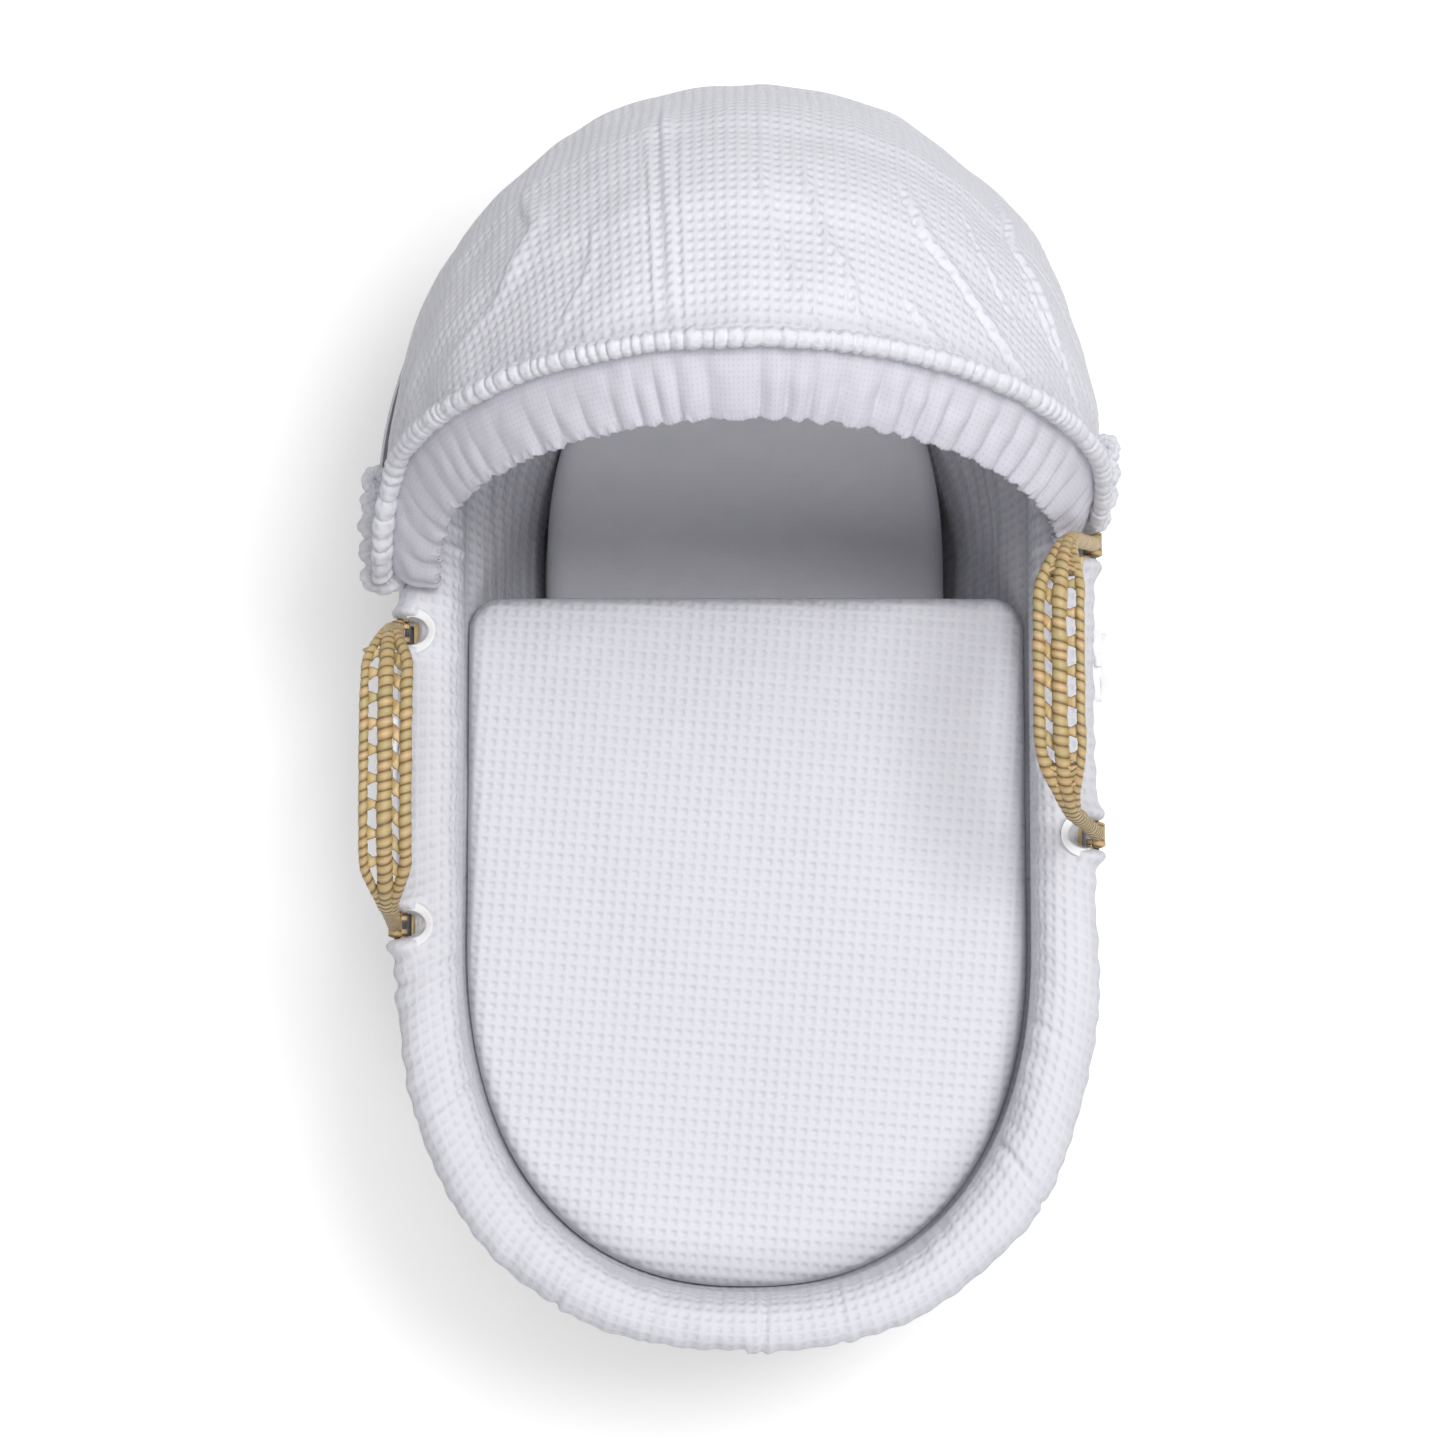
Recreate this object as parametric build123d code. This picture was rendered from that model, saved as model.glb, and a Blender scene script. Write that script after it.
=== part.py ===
from build123d import *
import math
import os

# Moses basket: palm-leaf body, padded cloth liner with a rim roll and an outside skirt, two palm
# handles, a mattress, a coverlet and a folding hood. Millimetres. The origin is at the middle of
# the base's underside, +Y points to the head, +X to the right and +Z up.

# ---- palm body ----
RIM_HALF_WIDTH = 218
RIM_HALF_LENGTH = 402
BASE_HALF_WIDTH = 168
BASE_HALF_LENGTH = 360
BODY_HEIGHT = 240
WALL_TOP = 231.8
PALM_THICKNESS = 10
BASE_THICKNESS = 10
BASE_GAP = 0.3
STRAIGHT_SHARE = 0.38
HEAD_EXPONENT = 1.9
FOOT_EXPONENT = 2.3
RIM_COIL_INNER = 208
RIM_COIL_OUTER = 224
RIM_COIL_BOTTOM = 232
RIM_COIL_TOP = 250

# ---- padded liner ----
LINER_GAP = 0.8
LINER_FLOOR_THICKNESS = 3.6
LINER_WALL_THICKNESS = 11
ROLL_BOTTOM = 215
ROLL_SHOULDER = 247
ROLL_TOP = 262
ROLL_OUTER_WIDTH = 235
ROLL_OUTER_LENGTH = 418
ROLL_INNER_WIDTH = 193
ROLL_INNER_LENGTH = 381
ROLL_BEVEL = 9
GROOVE_INNER = 201.8
GROOVE_OUTER = 225.5
SLOT_INNER = 207
SKIRT_TOP = 214.5
SKIRT_BOTTOM = 95
SKIRT_TOP_WIDTH = 233.5
SKIRT_BOTTOM_WIDTH = 200
SKIRT_THICKNESS = 3
HEM_HEIGHT = 6

# ---- handles ----
HANDLE_AXIS_X = 235
HANDLE_AXIS_Z = 250
HANDLE_RISE = 145
HANDLE_HALF_LENGTH = 98
HANDLE_TOP_HALF_LENGTH = 84
HANDLE_CORNER_RADIUS = 62
HANDLE_CENTRE_Y = {"left": -38, "right": 22}
HANDLE_LEAN = {"left": 3, "right": 16}
COIL_SPACING = 13.2
SIDE_COIL_START = 42
SIDE_COIL_TOE = 9.8
MIDDLE_COIL_RADIUS = 5
INBOARD_COIL_RADIUS = 4
OUTBOARD_COIL_RADIUS = 3
LINK_PITCH = 18
LINK_COUNT = 8
LINK_RADIUS = 2.4
PIVOT_BAR_RADIUS = 5
PIVOT_BAR_HALF_LENGTH = 13.5
PIVOT_CLEARANCE = 0.4
LOOP_OUTER_RADIUS = 8.5
LOOP_START = 8
LOOP_WIDTH = 5

# ---- bedding ----
MATTRESS_HALF_WIDTH = 145
MATTRESS_HALF_LENGTH = 335
MATTRESS_BOTTOM = 14.5
MATTRESS_TOP = 70
SHEET_THICKNESS = 2
COVERLET_HEAD_EDGE = 90
COVERLET_HALF_WIDTH = 174
COVERLET_HALF_LENGTH = 356
COVERLET_TOP = 208
COVERLET_EDGE_TOP = 190
COVERLET_THICKNESS = 20
COVERLET_TUCK_HALF_WIDTH = 149
COVERLET_TUCK_HALF_LENGTH = 336
COVERLET_TUCK_BOTTOM = 71.5
COVERLET_TUCK_THICKNESS = 14

# ---- hood ----
HOOD_AXIS_Y = 142
HOOD_AXIS_Z = 262
HOOD_HALF_WIDTH = 246
HOOD_REACH = 280
HOOD_STEP = 3
HOOD_CLOTH = 2.2
HOOD_SECTOR = 19
HOOD_OVERLAP = 1
HOOD_HEART = 8
HOOD_SLOPE = 76
HOOP_HALF_WIDTH = 231
HOOP_REACH = 268
HOOP_BAR = 5
HOOP_ARM_START = 229
HOOP_ARM_REACH = 24
HOOP_ARM_HALF_WIDTH = 2.6
HOOP_BAR_START = 16
HOOP_PIN_RADIUS = 3
HOOP_PIN_END = 240
HEM_BAND_BOTTOM = 232
HEM_BAND_START_Y = 186


def oval(half_width, half_length, height):
    """Level face with straight sides, rounder at the head (+Y) than at the foot."""
    straight = STRAIGHT_SHARE * half_length
    depth = half_length - straight

    def end(exponent, way):
        points = []
        for step in range(13):
            turn = math.pi * step / 12
            across = math.copysign(abs(math.cos(turn)) ** (2 / exponent), math.cos(turn))
            along = math.sin(turn) ** (2 / exponent) if 0 < step < 12 else 0
            points.append((half_width * across, way * (straight + depth * along)))
        return points

    head = end(HEAD_EXPONENT, 1)
    foot = end(FOOT_EXPONENT, -1)
    outline = [
        Spline(*head, tangents=[(0, 1), (0, -1)], tangent_scalars=[1, 1]),
        Line(head[-1], foot[-1]),
        Spline(*reversed(foot), tangents=[(0, -1), (0, 1)], tangent_scalars=[1, 1]),
        Line(foot[0], head[0]),
    ]
    return Pos(0, 0, height) * make_face(outline)


def bowl(bottom, top):
    """Solid between two ovals, each given as (half width, half length, height)."""
    return loft([oval(*bottom), oval(*top)], ruled=True)


def ring(bottom, top, thickness):
    """Wall of even thickness whose outside runs from the bottom oval to the top oval."""
    def inset(size):
        return size[0] - thickness, size[1] - thickness, size[2]

    return bowl(bottom, top) - bowl(inset(bottom), inset(top))


def flat_ring(outer, inner, bottom, top):
    """Upright ring between two ovals, each given as (half width, half length)."""
    face = oval(*outer, bottom) - oval(*inner, bottom)
    return extrude(face, top - bottom)


def palm_outside(height):
    """Half width and half length of the palm wall's outside at a height."""
    share = height / BODY_HEIGHT
    width = BASE_HALF_WIDTH + share * (RIM_HALF_WIDTH - BASE_HALF_WIDTH)
    length = BASE_HALF_LENGTH + share * (RIM_HALF_LENGTH - BASE_HALF_LENGTH)
    return width, length, height


def inward(size, amount):
    return size[0] - amount, size[1] - amount, size[2]


def block(x, y, z):
    """Box from three (low, high) pairs."""
    spans = (x, y, z)
    middle = [(low + high) / 2 for low, high in spans]
    return Pos(*middle) * Box(*[high - low for low, high in spans])


def mirrored(low, high, side):
    """An X span on the right, mirrored for the left side."""
    return (low, high) if side == "right" else (-high, -low)


def save(shape, node):
    export_step(shape, f"parts/{node}.step")


# ---- palm body ----
def palm_base():
    return extrude(oval(*inward(palm_outside(0), PALM_THICKNESS + BASE_GAP)), BASE_THICKNESS)


def palm_wall():
    return ring(palm_outside(0), palm_outside(WALL_TOP), PALM_THICKNESS)


def palm_rim_coil():
    length_gain = RIM_HALF_LENGTH - RIM_HALF_WIDTH
    outer = (RIM_COIL_OUTER, RIM_COIL_OUTER + length_gain)
    inner = (RIM_COIL_INNER, RIM_COIL_INNER + length_gain)
    return flat_ring(outer, inner, RIM_COIL_BOTTOM, RIM_COIL_TOP)


# ---- padded liner ----
def liner_floor():
    face = oval(*inward(palm_outside(BASE_THICKNESS + BASE_GAP), PALM_THICKNESS + LINER_GAP))
    return extrude(face, LINER_FLOOR_THICKNESS)


def liner_wall():
    bottom = palm_outside(MATTRESS_BOTTOM)
    top = palm_outside(ROLL_BOTTOM - 0.5)
    inset = PALM_THICKNESS + LINER_GAP
    return ring(inward(bottom, inset), inward(top, inset), LINER_WALL_THICKNESS)


def handle_legs_y(side):
    centre = HANDLE_CENTRE_Y[side]
    return centre - HANDLE_HALF_LENGTH, centre + HANDLE_HALF_LENGTH


def liner_rim_roll():
    outer = (ROLL_OUTER_WIDTH, ROLL_OUTER_LENGTH)
    inner = (ROLL_INNER_WIDTH, ROLL_INNER_LENGTH)
    lower = flat_ring(outer, inner, ROLL_BOTTOM, ROLL_SHOULDER)
    crown_out = [size - ROLL_BEVEL for size in outer]
    crown_in = [size + ROLL_BEVEL for size in inner]
    upper = bowl((*outer, ROLL_SHOULDER), (*crown_out, ROLL_TOP))
    upper -= bowl((*inner, ROLL_SHOULDER), (*crown_in, ROLL_TOP))
    length_gain = RIM_HALF_LENGTH - RIM_HALF_WIDTH
    groove = flat_ring(
        (GROOVE_OUTER, GROOVE_OUTER + length_gain),
        (GROOVE_INNER, GROOVE_INNER + length_gain),
        ROLL_BOTTOM - 5,
        RIM_COIL_TOP + 0.5,
    )
    roll = lower + upper - groove
    for side, centre in HANDLE_CENTRE_Y.items():
        reach = HANDLE_HALF_LENGTH + 18
        cut_out = mirrored(GROOVE_OUTER, ROLL_OUTER_WIDTH + 10, side)
        roll -= block(cut_out, (centre - reach, centre + reach), (ROLL_BOTTOM - 5, ROLL_TOP + 5))
        slot = mirrored(SLOT_INNER, GROOVE_OUTER + 5, side)
        for leg in handle_legs_y(side):
            roll -= block(slot, (leg - 10.5, leg + 10.5), (RIM_COIL_TOP - 1, ROLL_TOP + 5))
    return roll


def skirt():
    length_gain = ROLL_OUTER_LENGTH - ROLL_OUTER_WIDTH
    bottom = (SKIRT_BOTTOM_WIDTH, SKIRT_BOTTOM_WIDTH + length_gain, SKIRT_BOTTOM)
    top = (SKIRT_TOP_WIDTH, SKIRT_TOP_WIDTH + length_gain, SKIRT_TOP)
    return ring(bottom, top, SKIRT_THICKNESS)


def skirt_hem_elastic():
    length_gain = ROLL_OUTER_LENGTH - ROLL_OUTER_WIDTH
    outer = (SKIRT_BOTTOM_WIDTH, SKIRT_BOTTOM_WIDTH + length_gain)
    inner = (SKIRT_BOTTOM_WIDTH - 4, SKIRT_BOTTOM_WIDTH + length_gain - 4)
    return flat_ring(outer, inner, SKIRT_BOTTOM - 0.3 - HEM_HEIGHT, SKIRT_BOTTOM - 0.3)


def cutout_binding(side):
    centre = HANDLE_CENTRE_Y[side]
    tape = mirrored(GROOVE_OUTER + 0.2, GROOVE_OUTER + 2, side)
    return block(tape, (centre - 80, centre + 80), (251, 259))


def tie_bow(side):
    """Ribbon knot on the cut-out's edge, with a loop and a tail."""
    middle = HANDLE_CENTRE_Y[side] + 20
    knot = block(mirrored(229, 239, side), (middle - 6, middle + 6), (221, 233))
    loop = block(mirrored(230, 241, side), (middle - 30, middle - 5.5), (224, 228))
    tail = block(mirrored(230, 241, side), (middle + 5.5, middle + 32), (226, 230))
    return knot + loop + tail


# ---- handles ----
# A handle is drawn upright over its hinge axis, in (across, along, rise), then tipped inwards.
def handle_place(side):
    way = 1 if side == "right" else -1
    lean = -way * HANDLE_LEAN[side]
    return Pos(way * HANDLE_AXIS_X, HANDLE_CENTRE_Y[side], HANDLE_AXIS_Z) * Rot(0, lean, 0)


def leg_y(rise):
    """How far the straight part of a leg stands from the handle's middle at a rise."""
    lean_in = (HANDLE_HALF_LENGTH - HANDLE_TOP_HALF_LENGTH) / HANDLE_RISE
    return HANDLE_HALF_LENGTH - lean_in * rise


def coil(start, toe, spread, radius):
    """Wrapped coil: up one leg, along the top and down the other leg."""
    knee = start + 26
    half = [(toe, leg_y(start), start), (spread, leg_y(knee), knee)]
    crown = [(spread, HANDLE_TOP_HALF_LENGTH, HANDLE_RISE)]
    corners = [(x, -y, z) for x, y, z in half + crown] + list(reversed(half + crown))
    if toe == spread:
        corners = [corners[0], corners[2], corners[3], corners[5]]
        radii = HANDLE_CORNER_RADIUS
    else:
        radii = [30, HANDLE_CORNER_RADIUS, HANDLE_CORNER_RADIUS, 30]
    path = FilletPolyline(*corners, radius=radii)
    section = Plane(origin=path @ 0, z_dir=path % 0) * Circle(radius)
    return sweep(section, path)


def middle_coil():
    """The thick coil, which ends in a bar on the hinge axis at each leg."""
    arch = coil(0, 0, 0, MIDDLE_COIL_RADIUS)
    for way in (-1, 1):
        bar = Rot(90, 0, 0) * Cylinder(PIVOT_BAR_RADIUS, 2 * PIVOT_BAR_HALF_LENGTH)
        arch += Pos(0, way * HANDLE_HALF_LENGTH, 0) * bar
    return arch


def links(way):
    """Short leaf strips that cross the two open rows between the coils, along the top."""
    pieces = []
    outboard_gap = (MIDDLE_COIL_RADIUS + 0.3, COIL_SPACING - OUTBOARD_COIL_RADIUS - 0.3)
    inboard_gap = (MIDDLE_COIL_RADIUS + 0.3, COIL_SPACING - INBOARD_COIL_RADIUS - 0.3)
    for side_way, gap in ((way, outboard_gap), (-way, inboard_gap)):
        for index in range(LINK_COUNT):
            along = (index - (LINK_COUNT - 1) / 2) * LINK_PITCH * 0.8
            rod = Rot(0, 90, 0) * Cylinder(LINK_RADIUS, gap[1] - gap[0])
            middle = side_way * (gap[0] + gap[1]) / 2
            pieces.append(Pos(middle, along, HANDLE_RISE) * rod)
    return Compound(children=pieces)


def woven_ends(way):
    """Tight woven gussets that close both rows at the legs."""
    pieces = []
    rows = ((way, OUTBOARD_COIL_RADIUS), (-way, INBOARD_COIL_RADIUS))
    for side_way, side_radius in rows:
        low = MIDDLE_COIL_RADIUS + 0.4
        high = COIL_SPACING - side_radius - 0.4
        for leg_way in (-1, 1):
            rise = (SIDE_COIL_START + 30, SIDE_COIL_START + 48)
            corners = [
                (side_way * low, rise[0]),
                (side_way * high, rise[0]),
                (side_way * high, rise[1]),
                (side_way * low, rise[1]),
            ]
            face = Plane.XZ * make_face(Polyline(*corners, close=True))
            plate = Pos(0, 3, 0) * extrude(face, 6)
            stand = leg_way * leg_y(sum(rise) / 2)
            pieces.append(Pos(0, stand, 0) * plate)
    return Compound(children=pieces)


def handle_anchor_pair(side):
    """Leaf tabs on the outside of the palm wall, with loops round the handle's hinge bars."""
    outline = [
        (RIM_COIL_OUTER + 0.4, RIM_COIL_TOP),
        (RIM_COIL_OUTER + 0.4, RIM_COIL_BOTTOM - 1),
        (217.2, 229),
        (208.8, 190),
        (212.5, 190),
        (221.5, 207),
        (227.2, 228),
        (227.2, RIM_COIL_TOP),
    ]
    way = 1 if side == "right" else -1
    face = Plane.XZ * make_face(Polyline(*[(way * x, z) for x, z in outline], close=True))
    tabs = []
    bore_radius = PIVOT_BAR_RADIUS + PIVOT_CLEARANCE
    for leg in handle_legs_y(side):
        tab = Pos(0, leg + PIVOT_BAR_HALF_LENGTH, 0) * extrude(face, 2 * PIVOT_BAR_HALF_LENGTH)
        for loop_way in (-1, 1):
            centre = leg + loop_way * (LOOP_START + LOOP_WIDTH / 2)
            axis = Pos(way * HANDLE_AXIS_X, centre, HANDLE_AXIS_Z) * Rot(90, 0, 0)
            tab += axis * Cylinder(LOOP_OUTER_RADIUS, LOOP_WIDTH)
        bore = Pos(way * HANDLE_AXIS_X, leg, HANDLE_AXIS_Z) * Rot(90, 0, 0)
        tab -= bore * Cylinder(bore_radius, 4 * PIVOT_BAR_HALF_LENGTH)
        notch = (leg - 7.6, leg + 7.6)
        tab -= block(mirrored(226, 246, side), notch, (236, 262))
        tab -= block(mirrored(222, 246, side), notch, (246, 262))
        tabs.append(tab)
    return Compound(children=tabs)


def handle_lashings(side):
    """Leaf stitches that hold each anchor tab down on the wall."""
    stitches = []
    for leg in handle_legs_y(side):
        for x, z in ((221.9, 205.4), (224.2, 212.4), (226.2, 219.4)):
            span = mirrored(x, x + 2.2, side)
            stitches.append(block(span, (leg - 17, leg + 17), (z - 1.5, z + 1.5)))
    return Compound(children=stitches)


# ---- bedding ----
def mattress_outline(inset, height):
    return oval(MATTRESS_HALF_WIDTH - inset, MATTRESS_HALF_LENGTH - inset, height)


def mattress_foam():
    height = MATTRESS_TOP - SHEET_THICKNESS - 0.2 - MATTRESS_BOTTOM
    return extrude(mattress_outline(SHEET_THICKNESS + 0.2, MATTRESS_BOTTOM), height)


def fitted_sheet():
    outside = extrude(mattress_outline(0, MATTRESS_BOTTOM), MATTRESS_TOP - MATTRESS_BOTTOM)
    inside_height = MATTRESS_TOP - SHEET_THICKNESS - MATTRESS_BOTTOM
    inside = extrude(mattress_outline(SHEET_THICKNESS, MATTRESS_BOTTOM), inside_height)
    return outside - inside


def coverlet():
    """Quilt that arches across the basket, with its sides and foot tucked down."""
    crown = COVERLET_TOP - COVERLET_EDGE_TOP
    radius = (COVERLET_HALF_WIDTH**2 + crown**2) / (2 * crown)
    arch = Rot(90, 0, 0) * Cylinder(radius, 3 * COVERLET_HALF_LENGTH)
    arch -= Rot(90, 0, 0) * Cylinder(radius - COVERLET_THICKNESS, 4 * COVERLET_HALF_LENGTH)
    column = oval(COVERLET_HALF_WIDTH, COVERLET_HALF_LENGTH, COVERLET_EDGE_TOP - 40)
    top = extrude(column, 80) & Pos(0, 0, COVERLET_TOP - radius) * arch
    join = COVERLET_EDGE_TOP - COVERLET_THICKNESS + 4
    tuck = ring(
        (COVERLET_TUCK_HALF_WIDTH, COVERLET_TUCK_HALF_LENGTH, COVERLET_TUCK_BOTTOM),
        (COVERLET_HALF_WIDTH, COVERLET_HALF_LENGTH, join),
        COVERLET_TUCK_THICKNESS,
    )
    quilt = top + tuck
    beyond = ((-300, 300), (COVERLET_HEAD_EDGE, 600), (0, 400))
    return quilt - block(*beyond)


# ---- hood ----
# The hood turns about a level axis across the basket. Angles rise from the head, level, to the
# front. Each panel is a sector of a shell that nests inside the panel behind it.
def hood_profile(step):
    """Half of a thin oval rim, in (across, reach), for the panel that is this many in."""
    width = HOOD_HALF_WIDTH - step * HOOD_STEP
    reach = HOOD_REACH - step * HOOD_STEP
    shell = Ellipse(width, reach) - Ellipse(width - HOOD_CLOTH, reach - HOOD_CLOTH)
    outside = Pos(0, HOOD_HEART + reach / 2) * Rectangle(2 * width, reach)
    return shell & outside


def hood_panel(step, start, finish):
    face = Rot(start, 0, 0) * hood_profile(step)
    panel = revolve(face, Axis.X, finish - start)
    return Pos(0, HOOD_AXIS_Y, HOOD_AXIS_Z) * panel


def hoop_plane(forward):
    """Plane of the hoop, moved forward along its normal: x across, y up the slope."""
    slope = math.radians(HOOD_SLOPE)
    normal = (0, -math.sin(slope), math.cos(slope))
    origin = (0, HOOD_AXIS_Y + forward * normal[1], HOOD_AXIS_Z + forward * normal[2])
    return Plane(origin=origin, x_dir=(1, 0, 0), z_dir=normal)


def half_oval_rim(outer, inner):
    rim = Ellipse(*outer) - Ellipse(*inner)
    return rim & Pos(0, outer[1] / 2) * Rectangle(2 * outer[0] + 2, outer[1] + 2)


def above(shape, height):
    return shape - block((-400, 400), (-600, 600), (-100, height))


def hood_hoop():
    """Flat spring hoop, with an arm and a pin at each end that sit in a pocket on the rim."""
    outer = (HOOP_HALF_WIDTH, HOOP_REACH)
    inner = (HOOP_HALF_WIDTH - HOOP_BAR, HOOP_REACH - HOOP_BAR)
    rim = half_oval_rim(outer, inner)
    rim -= Rectangle(3 * HOOP_HALF_WIDTH, 2 * HOOP_BAR_START)
    hoop = extrude(hoop_plane(-HOOP_BAR - 1) * rim, HOOP_BAR)
    arm_middle = (HOOP_ARM_START + HOOP_HALF_WIDTH) / 2
    pin_middle = (HOOP_ARM_START + HOOP_PIN_END) / 2
    for way in (-1, 1):
        arm = Rectangle(HOOP_HALF_WIDTH - HOOP_ARM_START, HOOP_ARM_REACH)
        arm = Pos(way * arm_middle, HOOP_ARM_REACH / 2) * arm
        hoop += extrude(hoop_plane(-HOOP_ARM_HALF_WIDTH) * arm, 2 * HOOP_ARM_HALF_WIDTH)
        pin = Rot(0, 90, 0) * Cylinder(HOOP_PIN_RADIUS, HOOP_PIN_END - HOOP_ARM_START)
        hoop += Pos(way * pin_middle, HOOD_AXIS_Y, HOOD_AXIS_Z) * pin
    return hoop


def hood_pocket(side):
    """Small sewn pocket on the roll that holds the end of the hoop."""
    way = 1 if side == "right" else -1
    place = Pos(way * 238.7, HOOD_AXIS_Y, HOOD_AXIS_Z) * Rot(0, 90, 0)
    body = place * Cylinder(6.6, 5)
    body += block(mirrored(236.2, 241.2, side), (HOOD_AXIS_Y - 5, HOOD_AXIS_Y + 5), (226, HOOD_AXIS_Z))
    return body - place * Cylinder(3.5, 6)


def hood_front_ruffle():
    """Gathered ridge along the hoop."""
    rim = half_oval_rim((249, 284), (238, 275))
    return above(extrude(hoop_plane(0.6) * rim, 11), HOOD_AXIS_Z + 8)


def hood_front_band():
    """Elasticated band that hangs forward and inward from the ruffle."""
    cloth = 2.5
    outer = ((236, 273), (207, 236))
    faces = []
    for inset in (0, cloth):
        back, front = [[size - inset for size in pair] for pair in outer]
        faces.append(loft([hoop_plane(0.8) * Ellipse(*back), hoop_plane(31) * Ellipse(*front)]))
    return above(faces[0] - faces[1], HOOD_AXIS_Z + 50)


def hood_hem():
    """Rear hem of the hood cloth, pulled down round the outside of the roll at the head."""
    outer = (HOOD_HALF_WIDTH, HOOD_REACH)
    inner = (HOOD_HALF_WIDTH - HOOD_CLOTH, HOOD_REACH - HOOD_CLOTH)
    rim = Pos(0, HOOD_AXIS_Y, HEM_BAND_BOTTOM) * half_oval_rim(outer, inner)
    band = extrude(rim, HOOD_AXIS_Z - 0.5 - HEM_BAND_BOTTOM)
    return band - block((-400, 400), (-400, HEM_BAND_START_Y), (0, 400))


def hood_gather(side):
    """Bunched cloth at the side of the rim, where the hood's front corner is gathered."""
    start = {"left": 96, "right": 148}[side]
    bunch = block(mirrored(243, 255, side), (start, HEM_BAND_START_Y - 1), (232, 261))
    return fillet(bunch.edges().filter_by(Axis.Y), 4)


PARTS = {
    "palm_base": palm_base,
    "palm_wall": palm_wall,
    "palm_rim_coil": palm_rim_coil,
    "liner_floor": liner_floor,
    "liner_wall": liner_wall,
    "liner_rim_roll": liner_rim_roll,
    "skirt": skirt,
    "skirt_hem_elastic": skirt_hem_elastic,
    "mattress_foam": mattress_foam,
    "fitted_sheet": fitted_sheet,
    "coverlet": coverlet,
    "hood_hoop": hood_hoop,
    "hood_front_ruffle": hood_front_ruffle,
    "hood_front_band": hood_front_band,
    "hood_hem": hood_hem,
}
SIDE_PARTS = {
    "cutout_binding": cutout_binding,
    "tie_bow": tie_bow,
    "handle_anchors": handle_anchor_pair,
    "handle_lashings": handle_lashings,
    "hood_pocket": hood_pocket,
    "hood_gather": hood_gather,
}
HOOD_PANELS = ("rear", "lower", "upper", "front")


def main():
    os.makedirs("parts", exist_ok=True)
    for node, make in PARTS.items():
        save(make(), node)
    for side in ("left", "right"):
        way = 1 if side == "right" else -1
        for node, make in SIDE_PARTS.items():
            save(make(side), f"{node}_{side}")
        place = handle_place(side)
        outboard = coil(SIDE_COIL_START, way * SIDE_COIL_TOE, way * COIL_SPACING, OUTBOARD_COIL_RADIUS)
        inboard = coil(SIDE_COIL_START, -way * SIDE_COIL_TOE, -way * COIL_SPACING, INBOARD_COIL_RADIUS)
        save(place * outboard, f"handle_{side}_outboard_coil")
        save(place * inboard, f"handle_{side}_inboard_coil")
        save(place * middle_coil(), f"handle_{side}_middle_coil")
        save(place * links(way), f"handle_{side}_links")
        save(place * woven_ends(way), f"handle_{side}_woven_ends")
    for index, name in enumerate(HOOD_PANELS):
        start = max(0, index * HOOD_SECTOR - HOOD_OVERLAP)
        save(hood_panel(index, start, (index + 1) * HOOD_SECTOR), f"hood_panel_{name}")


main()
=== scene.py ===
import math

import bmesh
import bpy
import numpy as np
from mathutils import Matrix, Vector


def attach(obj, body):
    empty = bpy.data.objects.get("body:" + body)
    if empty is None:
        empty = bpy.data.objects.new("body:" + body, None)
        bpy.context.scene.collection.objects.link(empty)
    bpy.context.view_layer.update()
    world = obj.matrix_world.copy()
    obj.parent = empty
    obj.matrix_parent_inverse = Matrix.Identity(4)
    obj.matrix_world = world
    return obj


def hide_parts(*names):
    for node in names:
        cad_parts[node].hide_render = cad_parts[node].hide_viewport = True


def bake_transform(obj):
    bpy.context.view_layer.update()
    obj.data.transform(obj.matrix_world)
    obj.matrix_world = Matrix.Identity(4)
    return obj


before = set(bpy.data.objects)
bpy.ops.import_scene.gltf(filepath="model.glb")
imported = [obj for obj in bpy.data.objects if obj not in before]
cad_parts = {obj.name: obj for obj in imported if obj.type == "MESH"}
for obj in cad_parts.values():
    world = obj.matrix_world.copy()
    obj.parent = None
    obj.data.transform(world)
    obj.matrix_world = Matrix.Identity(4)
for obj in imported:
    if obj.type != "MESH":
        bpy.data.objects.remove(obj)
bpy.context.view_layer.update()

# Moses basket. Lengths here are in millimetres, and MM turns them into Blender's metres.
MM = 0.001
TAU = 2 * math.pi
CELL = 7.5  # one pit of the waffle cloth
RING_CELLS = 275  # cells round the rim
RING_STEPS = 4 * RING_CELLS  # columns round the rim
RING_GIRTH = 2060  # length of the cloth round the rim


# ---------------------------------------------------------------- camera, light and floor
def make_camera():
    data = bpy.data.cameras.new("camera")
    data.sensor_width = 36
    data.lens = 77.76
    camera = bpy.data.objects.new("camera", data)
    camera.location = (-0.0165, -0.183, 2.337)
    camera.rotation_euler = (math.radians(5), 0, 0)
    bpy.context.collection.objects.link(camera)
    bpy.context.scene.camera = camera


def area_light(name, place, target, size, power):
    data = bpy.data.lights.new(name, "AREA")
    data.shape = "DISK"
    data.size = size
    data.energy = power
    lamp = bpy.data.objects.new(name, data)
    lamp.location = place
    way = Vector(target) - Vector(place)
    lamp.rotation_euler = way.to_track_quat("-Z", "Y").to_euler()
    bpy.context.collection.objects.link(lamp)


def make_lights():
    area_light("key", (0.95, 0.5, 2.9), (0, 0, 0.2), 1.1, 34)
    area_light("overhead", (0.1, 0.9, 3.2), (0, 0, 0), 2.4, 34)
    area_light("front", (0.25, -1.5, 2.4), (0, 0.1, 0.15), 1.2, 20)
    world = bpy.data.worlds.new("studio")
    world.use_nodes = True
    back = world.node_tree.nodes["Background"]
    back.inputs["Color"].default_value = (0.96, 0.97, 1.0, 1)
    back.inputs["Strength"].default_value = 0.34
    bpy.context.scene.world = world
    view = bpy.context.scene.view_settings
    view.view_transform = "Standard"
    view.look = "None"
    view.exposure = 0
    view.gamma = 1


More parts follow.
